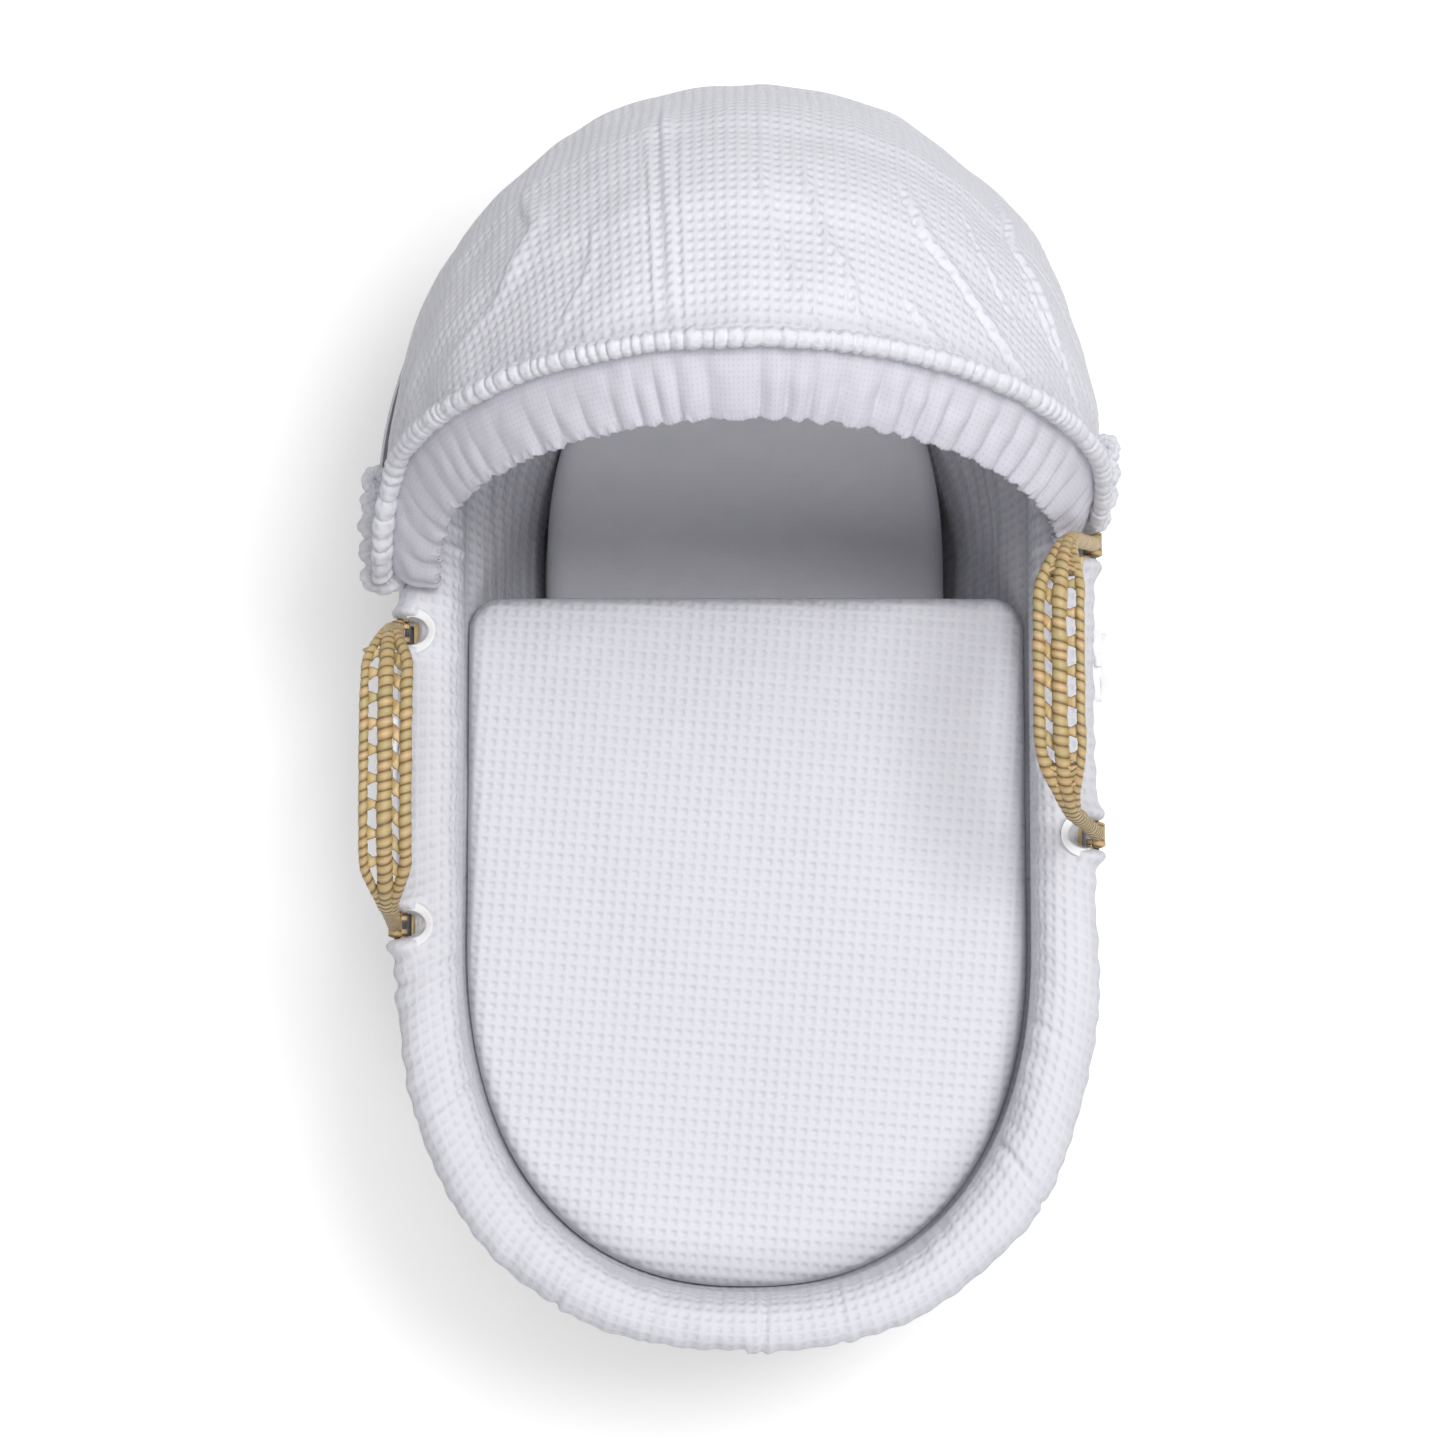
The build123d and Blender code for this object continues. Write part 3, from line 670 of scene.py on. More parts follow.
def quilt_inside(x, y):
    """Distance in from the quilt's edge, and the outward direction of that edge."""
    straight = STRAIGHT_SHARE * QUILT_LENGTH
    depth = QUILT_LENGTH - straight
    down = np.maximum(-y - straight, 0)
    n = FOOT_EXPONENT
    a, b = np.abs(x) / QUILT_WIDTH, down / depth
    g = np.maximum((a ** n + b ** n) ** (1 / n), 1e-6)
    gx = np.sign(x) * (a / g) ** (n - 1) / QUILT_WIDTH
    gy = -((b / g) ** (n - 1)) / depth
    size = np.maximum(np.hypot(gx, gy), 1e-9)
    side = (1 - g) / size
    out = np.stack([gx / size, gy / size], -1)
    head = QUILT_HEAD - y
    cx, cy = np.abs(x) - (QUILT_WIDTH - QUILT_CORNER), y - (QUILT_HEAD - QUILT_CORNER)
    corner = (cx > 0) & (cy > 0)
    far = np.maximum(np.hypot(cx, cy), 1e-9)
    turned = np.stack([np.sign(x) * cx / far, cy / far], -1)
    gap = np.minimum(side, head)
    out = np.where((head < side)[..., None], np.array([0.0, 1.0]), out)
    gap = np.where(corner, QUILT_CORNER - far, gap)
    out = np.where(corner[..., None], turned, out)
    return gap, out


def quilt_top(x, y):
    crown = 207.5 - 3.5 * (x / 180) ** 2
    return crown + 1.6 * ripple(x, y, 150, 41) + 0.5 * ripple(x, y, 45, 42)


def coverlet(look):
    """Quilt cut from a tilted lattice of waffle cells, with its edge moved onto the outline."""
    part = 5  # lattice steps in a cell
    step = CELL / part
    tilt = math.radians(-4.5)
    a, b = np.meshgrid(np.arange(-160, 161), np.arange(-210, 211), indexing="ij")
    x = step * (a * math.cos(tilt) - b * math.sin(tilt))
    y = step * (a * math.sin(tilt) + b * math.cos(tilt)) - 140
    keep = quilt_inside(x, y)[0] > 0.5
    full = keep[:-1, :-1] & keep[1:, :-1] & keep[1:, 1:] & keep[:-1, 1:]
    i, j = np.nonzero(full)
    first = i * x.shape[1] + j
    faces = np.stack([first, first + x.shape[1], first + x.shape[1] + 1, first + 1], 1)
    used, faces = np.unique(faces, return_inverse=True)
    faces = faces.reshape(-1, 4)
    x, y = x.ravel()[used], y.ravel()[used]
    u, v = a.ravel()[used] / part, b.ravel()[used] / part

    edges = np.concatenate([faces[:, [k, (k + 1) % 4]] for k in range(4)])
    edges = dict.fromkeys(map(tuple, edges.tolist()))
    rim = {p: q for p, q in edges if (q, p) not in edges}
    loop = [next(iter(rim))]
    while rim[loop[-1]] != loop[0]:
        loop.append(rim[loop[-1]])
    loop = np.array(loop)
    for _ in range(3):
        gap, out = quilt_inside(x[loop], y[loop])
        x[loop] += out[:, 0] * gap
        y[loop] += out[:, 1] * gap

    gap, _ = quilt_inside(x, y)
    turn = np.clip(QUILT_TURN - gap, 0, QUILT_TURN)
    drop = QUILT_TURN - np.sqrt(np.maximum(QUILT_TURN ** 2 - turn ** 2, 0))
    z = quilt_top(x, y) - drop
    z += 0.9 * pits(u, v) * smooth(gap, 1.0, 6)
    for line in (4, 8, 12, 16):
        z -= 0.7 * bell(QUILT_HEAD - y - line, 1.1) * (np.abs(x) < 180)
    points = np.stack([x, y, z], -1)

    base = points[loop]
    _, way = quilt_inside(base[:, 0], base[:, 1])
    head = smooth(base[:, 1], QUILT_HEAD - 30, QUILT_HEAD - 2)[:, None]
    rings, flats, sides = [points], [np.stack([u, v], -1)], []
    last = loop
    for k, (side_shift, head_shift) in enumerate(zip(QUILT_SIDE, QUILT_HEAD_EDGE)):
        shift = np.array(side_shift) * (1 - head) + np.array(head_shift) * head
        rings.append(base + np.concatenate([way * shift[:, :1], shift[:, 1:]], 1))
        flats.append(flats[0][loop] + way * 1.5 * (k + 1))
        now = len(points) + k * len(loop) + np.arange(len(loop))
        sides.append(np.stack([np.roll(last, -1), last, now, np.roll(now, -1)], 1))
        last = now
    faces = np.concatenate([faces, *sides])
    ends = [list(last[::-1])]
    rings, flats = np.concatenate(rings), np.concatenate(flats)
    piece = build("coverlet_quilt", rings, faces, faces, flats, look, ends)
    settle(piece, "coverlet", "padded_waffle", "coverlet")


# ---------------------------------------------------------------- hood
HOOD_Y = 142.0
HOOD_Z = 262.0
HOOD_A = 246.0
HOOD_R = 280.0
HOOD_MEAN = 263  # mean radius, for lengths along the hoop
HOOD_SWEEP = 76  # degrees from the rear hem up to the hoop
HOOD_ROWS = 216
SLOPE = math.radians(76)
ALONG = np.array([0, math.cos(SLOPE), math.sin(SLOPE)])
FORWARD = np.array([0, -math.sin(SLOPE), math.cos(SLOPE)])

# Folds of the hood cloth: points in its flat coordinates, then width, ridge height and groove depth.
HOOD_FOLDS = (
    (((-62, -60), (-60, 40), (-59, 96), (-59, 178)), 4.5, 1.5, 1.0),
    (((-75, -40), (-71, 60), (-70, 175)), 3.2, 0.9, 0.7),
    (((-50, -20), (-49, 90), (-48, 178)), 3.6, 0.7, 0.6),
    (((-3, 29), (14, 103), (34, 158)), 4.0, 0.9, 0.7),
    (((27, 38), (53, 113), (64, 125), (80, 175)), 4.0, 1.6, 1.2),
    (((20, 120), (42, 160), (59, 186)), 3.5, 0.9, 0.9),
    (((95, 20), (121, 78), (185, 120), (243, 147)), 6.0, 2.2, 1.5),
    (((107, 130), (135, 156), (166, 166)), 5.0, 1.6, 1.2),
    (((186, -61), (204, 21), (247, 61), (300, 85)), 5.0, 2.2, 1.5),
    (((206, 30), (224, 57), (276, 78)), 4.0, 1.4, 1.0),
    (((-165, -30), (-170, 5), (-160, 43), (-182, 70), (-201, 81), (-245, 84)), 9.0, 1.8, 1.0),
    (((-110, 60), (-120, 110), (-150, 150)), 5.0, 0.8, 0.5),
    (((150, 20), (170, 60), (215, 95)), 4.0, 0.9, 0.7),
    (((5, -40), (8, 60), (12, 175)), 4.0, 0.6, 0.4),
)


# Strips of hood cloth: the first and last angle, the bodies that each runs between, the angle of
# the joint between those, and the CAD nodes that it stands for.
HOOD_STRIPS = {
    "rear": (0, 28.5, "root", "hood_lower", 19, ("hood_panel_rear", "hood_panel_lower")),
    "middle": (28.5, 47.5, "hood_lower", "hood_upper", 38, ("hood_panel_upper",)),
    "front": (47.5, 76, "hood_upper", "hood_front", 57, ("hood_panel_front",)),
}


def fold_height(u, v, path, width, ridge, groove):
    """A soft ridge with a groove on its left side, fading out at both ends."""
    best = np.full(u.shape, 1e9)
    side = np.zeros(u.shape)
    share = np.zeros(u.shape)
    path = np.array(path, float)
    lengths = np.linalg.norm(np.diff(path, axis=0), axis=1)
    whole, done = lengths.sum(), 0.0
    for p, q, size in zip(path[:-1], path[1:], lengths):
        d = (q - p) / size
        t = np.clip((u - p[0]) * d[0] + (v - p[1]) * d[1], 0, size)
        ex, ey = u - p[0] - t * d[0], v - p[1] - t * d[1]
        far = np.hypot(ex, ey)
        nearer = far < best
        best = np.where(nearer, far, best)
        side = np.where(nearer, np.sign(d[0] * ey - d[1] * ex), side)
        share = np.where(nearer, (done + t) / whole, share)
        done += size
    fade = smooth(share, 0, 0.25) * (1 - smooth(share, 0.8, 1.0) * 0.6)
    offset = best * side
    low = groove * bell(offset - 0.2 * width, 0.35 * width)
    return fade * (ridge * bell(offset + 0.6 * width, width) - low)


def canopy_flat(direction):
    """Flat coordinates of the hood cloth, measured outwards from the middle of its dome."""
    tilt = math.radians(38)
    middle = np.array([0, math.cos(tilt), math.sin(tilt)])
    upward = np.array([0, -math.sin(tilt), math.cos(tilt)])
    angle = np.arccos(np.clip(direction @ middle, -1, 1))
    gain = 265 * angle / np.maximum(np.sin(angle), 1e-6)
    return direction[..., 0] * gain, (direction @ upward) * gain


def pull_corners(points, start=175):
    """The front corners of the hood reach forward to the gathers on the rim."""
    x, z = points[..., 0], points[..., 2]
    low = 1 - smooth(z, 262, 372)
    left = smooth(-x, start, 248) * 44
    right = smooth(x, 185, 248) * 6
    points = points.copy()
    points[..., 1] -= (left + right) * low
    points[..., 0] -= (3 * smooth(-x, 200, 248) + 8 * smooth(x, 200, 248)) * low
    return points


def canopy_points(psi, phi):
    """The hood's dome, which steps in a little over each fold line."""
    step = 3 * (smooth(phi, 16, 22) + smooth(phi, 35, 41) + smooth(phi, 54, 60))
    a = HOOD_A - step
    r = (HOOD_R - step) * np.cos(psi)
    phi = np.radians(phi)
    return np.stack([a * np.sin(psi), HOOD_Y + r * np.cos(phi), HOOD_Z + r * np.sin(phi)], -1)


def canopy(look):
    """Hood cloth with its folds, cut into strips."""
    psi = np.radians(np.linspace(-87.5, 87.5, 470))
    rows = np.linspace(0, HOOD_SWEEP, HOOD_ROWS + 1)
    phi = np.broadcast_to(rows, (len(psi), len(rows)))
    turn = np.broadcast_to(psi[:, None], phi.shape)
    rise = np.radians(phi)
    points = canopy_points(turn, phi)
    direction = [np.sin(turn), np.cos(turn) * np.cos(rise), np.cos(turn) * np.sin(rise)]
    u, v = canopy_flat(np.stack(direction, -1))
    edge = smooth(phi, 0, 3) * (1 - smooth(phi, 74, HOOD_SWEEP))
    reach = np.cos(turn) * HOOD_R
    inner = smooth(reach, 25, 90)
    height = (1.8 * ripple(u, v, 110, 51) + 0.6 * ripple(u, v, 42, 52)) * inner
    for fold in HOOD_FOLDS:
        height += 1.5 * fold_height(u, v, *fold) * inner
    round_hood = turn * HOOD_MEAN
    pucker = np.cos(TAU * round_hood / 12.5 + 2.0 * ripple(round_hood, 0, 70, 53))
    front = (np.radians(HOOD_SWEEP) - rise) * np.maximum(reach, 60)
    back = rise * np.maximum(reach, 60)
    height += 0.55 * pucker * bell(front, 9) * inner
    height += 0.5 * pucker * bell(back, 12) * inner
    height -= 0.9 * bell(front - 7.5, 1.1) * smooth(reach, 30, 60)
    for line, deep in ((46, 0.8), (53, 0.6)):
        height -= deep * bell(back - line, 1.2) * smooth(reach, 120, 200)
    height += 0.62 * pits(u / CELL, v / CELL) * smooth(reach, 20, 60)
    points = raised(points, -height * edge)
    points = pull_corners(points, 215 - 40 * smooth(phi, 5, 45))
    inward = normals(points, False, False)
    for name, (low, high, below, above, centre, nodes) in HOOD_STRIPS.items():
        first, last = (round(angle / HOOD_SWEEP * HOOD_ROWS) for angle in (low, high))
        cut = (slice(None), slice(first, last + 1))
        thin = points[cut] + inward[cut] * 1.6
        flat = (u[cut] / CELL, v[cut] / CELL)
        piece = shell(f"hood_cloth_{name}", points[cut], thin, flat, look)
        both = np.concatenate([-inward[cut], inward[cut][:, ::-1]], 1)
        piece.data.normals_split_custom_set_from_vertices(both.reshape(-1, 3).tolist())
        fold = math.radians(centre)
        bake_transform(piece)
        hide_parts(*nodes)


def hoop_points(psi, a, b, forward):
    """Points round the hoop's plane, moved forward out of it."""
    origin = np.array([0, HOOD_Y, HOOD_Z])
    x = (a * np.sin(psi))[..., None] * np.array([1.0, 0, 0])
    return origin + x + (b * np.cos(psi))[..., None] * ALONG + np.asarray(forward)[..., None] * FORWARD


def ruffle(look):
    """Gathered ridge over the hoop: uneven puffs with a notch between each two."""
    draw = np.random.default_rng(61)
    psi = np.radians(np.linspace(-88.3, 88.3, 900))
    run = psi * HOOD_MEAN
    marks = [-420.0]
    while marks[-1] < 420:
        marks.append(marks[-1] + draw.uniform(5.5, 12.5))
    marks = np.array(marks)
    index = np.clip(np.searchsorted(marks, run) - 1, 0, len(marks) - 2)
    within = (run - marks[index]) / (marks[index + 1] - marks[index])
    size = draw.uniform(0.75, 1.12, len(marks))[index]
    lean = draw.uniform(-0.5, 0.5, len(marks))[index]
    puff = np.abs(np.sin(math.pi * within)) ** 0.45
    full = (puff * size)[:, None]
    turn = np.linspace(0, TAU, 26, endpoint=False)
    wobble = (1.2 * ripple(run, 0, 60, 62))[:, None]
    out, ahead = np.cos(turn)[None, :], np.sin(turn)[None, :]
    radial = 7.2 * out * (0.62 + 0.38 * full)
    forward = 6.2 + 6.6 * ahead * (0.66 + 0.34 * full) + wobble * 0.6
    shift = psi[:, None] + (lean * puff)[:, None] * ahead * 2.2 / HOOD_MEAN
    radial = radial + wobble * 0.5
    points = hoop_points(shift, 240.5 + radial, 276.2 + radial, forward)
    fray = 0.35 * ripple(run[:, None], turn[None, :] * 7, 3.2, 63)
    points = pull_corners(raised(points, fray, False, True))
    points[..., 2] = np.maximum(points[..., 2], 262.6)
    flat = (run[:, None] / CELL, turn[None, :] * 6 / CELL)
    piece = grid("hood_ruffle", points, flat, look, None, (0, TAU * 6 / CELL))
    settle(piece, "hood_front", "waffle_cloth", "hood_front_ruffle")


def front_band(look):
    """Elasticated band inside the ruffle, in soft radial folds, with a serrated edge."""
    knit = 3.1  # one stitch
    psi = np.radians(np.linspace(-88, 88, 640))
    run = psi * 250
    share = np.linspace(0, 1, 34)
    fold = np.abs(np.sin(math.pi * run / 21 + 1.4 * ripple(run, 0, 110, 71)))
    calm = 0.35 + 0.65 * smooth(run, -120, 40)
    teeth = 1.1 * np.abs(np.sin(math.pi * run / knit)) + 0.8 * ripple(run, 0, 9, 72)
    teeth = 2.2 * (teeth[:, None] * smooth(share, 0.86, 1)[None, :])
    sag = 6 * np.sin(math.pi * share)[None, :]
    dip = (4.6 * calm * (fold - 0.7))[:, None] * smooth(share, 0.05, 0.8)[None, :]
    lean = (0.05 * smooth(np.abs(run), 80, 300) * np.sign(run))[:, None] * share[None, :]
    narrow = (1 - 0.22 * smooth(run, 250, 370))[:, None]
    forward = 2.5 + 38 * share[None, :] * narrow + sag * 0.3 + dip
    a = 236 - 30 * share[None, :] - teeth + dip * 0.8 + sag * 0.4
    b = 273 - 38 * share[None, :] - teeth + dip * 0.8 + sag * 0.4
    points = hoop_points(psi[:, None] + lean * 0.5, a, b, forward)
    u = np.broadcast_to(run[:, None] / knit, points.shape[:2])
    v = np.broadcast_to(share[None, :] * 47 / knit, points.shape[:2])
    height = 0.5 * ripple(run[:, None], share[None, :] * 47, 24, 73) + 0.25 * pits(u, v)
    points = pull_corners(raised(points, height))
    points[..., 2] = np.maximum(points[..., 2], 263.2)
    back = points + normals(points, False, False) * 1.4
    piece = shell("hood_band", points, back, (u, v), look)
    settle(piece, "hood_front", "waffle_cloth", "hood_front_band")


def hem_band(look):
    """Lower edge of the hood, drawn in round the outside of the roll at the head."""
    psi = np.radians(np.linspace(-94.5, 92, 460))
    run = psi * HOOD_MEAN
    share = np.linspace(0, 1, 20)
    inset = 2.6 * smooth(share, 0.55, 1)
    gather = 0.9 * np.sin(TAU * run / 10 + 2 * ripple(run, 0, 70, 81))
    radial = -inset[None, :] + gather[:, None] * smooth(share, 0.3, 1)[None, :] - 0.6
    x = (HOOD_A + radial) * np.sin(psi)[:, None]
    x = x - 3 * smooth(-x, 200, 248) - 8 * smooth(x, 200, 248)
    y = HOOD_Y + (HOOD_R + radial) * np.cos(psi)[:, None]
    points = np.stack([x, y, np.broadcast_to(262.6 - 30 * share, x.shape)], -1)
    u = np.broadcast_to(run[:, None] / CELL, x.shape)
    v = np.broadcast_to(share[None, :] * 30 / CELL, x.shape)
    points = raised(points, 0.5 * pits(u, v) * smooth(share, 0.0, 0.1)[None, :])
    back = points - normals(points, False, False) * 1.6
    piece = shell("hood_hem_band", points, back, (u, v), look)
    settle(piece, "root", "waffle_cloth", "hood_hem")


# Bunches of drawn-in cloth: the middle, then the half width and half length.
ROSETTES = {
    "left": (
        (-244, 97, 259, 16, 12), (-246, 114, 261, 15, 12), (-247, 131, 262, 14, 12),
        (-248, 147, 263, 12, 11), (-249, 161, 263, 10, 11), (-236, 106, 261, 12, 14),
    ),
    "right": (
        (229, 137, 257, 16, 11), (236, 152, 257, 14, 11), (240, 168, 256, 12, 11),
        (242, 184, 256, 10, 11), (230, 146, 259, 9, 12),
    ),
}


def rosette(name, x, y, z, wide, long, seed, look):
    """One bunch of drawn-in cloth: a rounded puff with swirled creases."""
    draw = np.random.default_rng(seed)
    turn = np.linspace(0, TAU, 72, endpoint=False)[:, None]
    tilt = np.linspace(0.02, math.pi - 0.02, 42)[None, :]
    count = int(draw.integers(7, 10))
    twist = draw.uniform(0.6, 1.6)
    crease = np.abs(np.sin(count * turn / 2 + twist * tilt + 0.6 * np.sin(turn)))
    ring = bell(tilt - 0.75, 0.16)
    r = 0.90 + 0.12 * crease ** 0.5 - 0.09 * ring
    r = r * (1 + 0.05 * ripple(turn * 3, tilt * 4, 3.1, seed + 1))
    lean = draw.uniform(-0.25, 0.25)
    px = wide * r * np.sin(tilt) * np.cos(turn)
    py = long * r * np.sin(tilt) * np.sin(turn)
    pz = 9.0 * r * np.cos(tilt) + lean * py
    points = np.stack([x + px, y + py, z + pz], -1)
    u = turn * wide / CELL + 0 * tilt
    v = tilt * 10 / CELL + 0 * turn
    piece = grid(name, points, (u, v), look, (TAU * wide / CELL, 0), None)
    reworked(piece, lambda work: bmesh.ops.holes_fill(work, edges=work.edges, sides=0))
    return piece


def gather(side, look):
    """Cloth bunched over its drawn cord, in rounded bunches along the rim."""
    pieces = [
        rosette(f"rosette_{side}", *place, 90 + 10 * k, look)
        for k, place in enumerate(ROSETTES[side])
    ]
    piece = joined(f"hood_gather_cloth_{side}", pieces)
    settle(piece, "root", "waffle_cloth", f"hood_gather_{side}")


# ---------------------------------------------------------------- handles
def rounded_path(corners, radii, step):
    """Straight runs between corners, with an arc of each radius at the inner corners."""
    corners = np.array(corners, float)
    path = [corners[0]]
    for k in range(1, len(corners) - 1):
        before, here, after = corners[k - 1], corners[k], corners[k + 1]
        d0 = (before - here) / np.linalg.norm(before - here)
        d1 = (after - here) / np.linalg.norm(after - here)
        half = math.acos(float(np.clip(d0 @ d1, -1, 1))) / 2
        back = radii[k - 1] / math.tan(half)
        bisect = d0 + d1
        centre = here + bisect / np.linalg.norm(bisect) * radii[k - 1] / math.sin(half)
        p, q = here + d0 * back - centre, here + d1 * back - centre
        sweep = math.pi - 2 * half
        for t in np.linspace(0, 1, 24):
            arc = math.sin((1 - t) * sweep) * p + math.sin(t * sweep) * q
            path.append(centre + arc / math.sin(sweep))
    path.append(corners[-1])
    path = np.array(path)
    run = np.linalg.norm(np.diff(path, axis=0), axis=1).sum()
    return evenly(path, int(run / step))[0], run


def frames(path):
    """Two directions across the path: one that stays near +X, and one square to it."""
    along = np.gradient(path, axis=0)
    along /= np.linalg.norm(along, axis=1, keepdims=True)
    side = np.array([1.0, 0, 0]) - along * along[:, :1]
    side /= np.linalg.norm(side, axis=1, keepdims=True)
    return side, np.cross(along, side)


def place_handle(side, local):
    """Turns the handle's own points to its lean, and puts its hinge line on the basket."""
    way, centre, lean = HANDLES[side]
    turn = math.radians(-way * lean)
    x, y, z = local[..., 0], local[..., 1], local[..., 2]
    out = way * HINGE_X + x * math.cos(turn) + z * math.sin(turn)
    up = HINGE_Z - x * math.sin(turn) + z * math.cos(turn)
    return np.stack([out, centre + y, up], -1)


def wrapped_tube(name, path, run, radius, pitch, look, side, seed, slant=1.0, taper=6.0):
    """Coil wrapped with a leaf strip, whose turns overlap a little and wander a little."""
    across, up = frames(path)
    distance = np.linspace(0, run, len(path))
    turn = np.linspace(0, TAU, 28, endpoint=False)
    drift = 0.22 * ripple(distance, 0, 30, seed)
    phase = distance[:, None] / pitch + drift[:, None] + slant * turn[None, :] / TAU
    within = phase % 1
    ridge = 0.4 * np.sin(math.pi * within) ** 0.6 + 0.4 * within
    ends = np.sqrt(np.clip(np.minimum(distance, run - distance) / taper, 0.02, 1))
    swell = 0.3 * ripple(distance, 0, 22, seed + 1)
    r = ((radius - 0.6 + swell)[:, None] + ridge) * ends[:, None]
    out = np.cos(turn)[None, :, None] * across[:, None]
    out = out + np.sin(turn)[None, :, None] * up[:, None]
    points = place_handle(side, path[:, None] + r[..., None] * out)
    reach = float(np.mean(radius)) / 6
    flat = (phase, turn[None, :] * reach)
    return grid(name, points, flat, look, None, (slant, TAU * reach))


def strip(name, path, width_way, width, thick, look, tone=0.0):
    """Flat leaf strip or ribbon along a path, as wide as width across width_way."""
    path = np.asarray(path, float)
    along = np.gradient(path, axis=0)
    along /= np.linalg.norm(along, axis=1, keepdims=True)
    way = np.broadcast_to(np.asarray(width_way, float), path.shape)
    way = way - along * (way * along).sum(1, keepdims=True)
    way /= np.linalg.norm(way, axis=1, keepdims=True)
    face = np.cross(along, way)
    turn = np.linspace(0, TAU, 14, endpoint=False)
    wide = np.broadcast_to(width, len(path))[:, None] / 2
    cx = np.sign(np.cos(turn)) * np.abs(np.cos(turn)) ** 0.6 * wide
    cy = np.sign(np.sin(turn)) * np.abs(np.sin(turn)) ** 0.8 * thick / 2
    points = path[:, None] + cx[..., None] * way[:, None] + cy[None, :, None] * face[:, None]
    run = np.concatenate([[0], np.cumsum(np.linalg.norm(np.diff(path, axis=0), axis=1))])
    flat = (tone + 0.5 + 0.44 * np.cos(turn)[None, :], run[:, None] / 6)
    return grid(name, points, flat, look)


COIL_SPREAD = 13.2
COIL_RADIUS = {"middle": 5.0, "inboard": 4.0, "outboard": 3.0}
LINK_ROWS = {"left": (9, 17.4), "right": (8, 18.8)}
TAPER_START = {"left": 60, "right": 46}
GUSSET_START = {"left": 79, "right": 60}
STEP = 0.85  # between points along a coil
MIDDLE_COIL, MIDDLE_RUN = rounded_path(
    [(0, -LEG, 0), (0, -84, 145), (0, 84, 145), (0, LEG, 0)], (62, 62), STEP
)


def spread(side, y):
    """How far a side coil stands from the middle one, which it nears towards the legs."""
    return 1.5 + (COIL_SPREAD - 1.5) * (1 - smooth(np.abs(y), TAPER_START[side], 97))


def coils(side, look):
    """Three wrapped coils, of which the middle one also wraps its two hinge bars."""
    way = HANDLES[side][0]
    high = np.nonzero(MIDDLE_COIL[:, 2] > 5)[0]
    for part, sign in (("middle", 0), ("inboard", -way), ("outboard", way)):
        radius, path, length = COIL_RADIUS[part], MIDDLE_COIL, MIDDLE_RUN
        if sign:
            path = MIDDLE_COIL[high[0]:high[-1] + 1]
            path = path + sign * spread(side, path[:, 1:2]) * np.array([1.0, 0, 0])
            length = STEP * (high[-1] - high[0])
            radius = radius * (0.62 + 0.38 * smooth(path[:, 2], 8, 92))
        name = f"handle_{side}_{part}_wrap"
        seed = 100 + len(part) * 7 + way
        piece = wrapped_tube(name, path, length, radius, 6.6, look, side, seed, float(way))
        if part == "middle":
            bars = []
            for leg in (-LEG, LEG):
                bar = np.outer(np.linspace(leg - 9, leg + 9, 24), [0, 1, 0])
                bar = wrapped_tube(f"bar_{side}", bar, 18.0, 4.6, 5.0, look, side, 140, taper=1.5)
                bars.append(bar)
            piece = joined(name, [piece, *bars])
        settle(piece, f"handle_{side}", "palm_leaf", f"handle_{side}_{part}_coil")


def links(side, look):
    """Leaf strips that cross from the middle coil to the side ones, and leave gaps between."""
    way = HANDLES[side][0]
    across, up = frames(MIDDLE_COIL)
    draw = np.random.default_rng(150 + way)
    t = np.linspace(0, 1, 17)
    pieces = []

    def link(hand, start, reach, places, rises, wide, thick, tone):
        at = np.round(len(MIDDLE_COIL) / 2 + places / STEP).astype(int)
        at = np.clip(at, 0, len(MIDDLE_COIL) - 1)
        offset = hand * (start + (reach - start) * t)
        lift = np.interp(t, *rises)
        local = MIDDLE_COIL[at] + across[at] * offset[:, None] + up[at] * lift[:, None]
        line = place_handle(side, local)
        pieces.append(strip(f"link_{side}", line, (0, 1, 0.0), wide, thick, look, tone))

    count, pitch = LINK_ROWS[side]
    for k in range(count):
        centre = (k - (count - 1) / 2) * pitch
        slide = draw.uniform(-1.2, 1.2)
        wide = draw.uniform(6.6, 8.2) * (0.75 + 0.25 * np.sin(math.pi * t))
        reach = COIL_SPREAD - 0.5 * COIL_RADIUS["inboard"]
        rises = ((0, 0.25, 0.5, 0.8, 1), (4.4, 2.4, 0.8, 1.6, 3.4))
        places = centre + slide - way * 5.6 * (1 - 2 * t)
        link(-way, 0.5 * COIL_RADIUS["middle"], reach, places, rises, wide, 1.2, 3 * k)
        reach = COIL_SPREAD - 0.2 * COIL_RADIUS["outboard"]
        rises = ((0, 0.12, 0.25, 0.4, 0.55, 0.75, 1), (1.6, 4.6, 5.6, 4.6, 1.4, 1.0, 2.9))
        places = centre + pitch * 0.4 + slide + draw.uniform(-1.5, 1.5) * t
        wide = 4.6 + 5.0 * smooth(t, 0.55, 1.0) + draw.uniform(0, 0.8)
        link(way, -0.9 * COIL_RADIUS["middle"], reach, places, rises, wide, 1.1, 3 * k + 40)
    piece = joined(f"handle_{side}_strips", pieces)
    settle(piece, f"handle_{side}", "palm_leaf", f"handle_{side}_links")


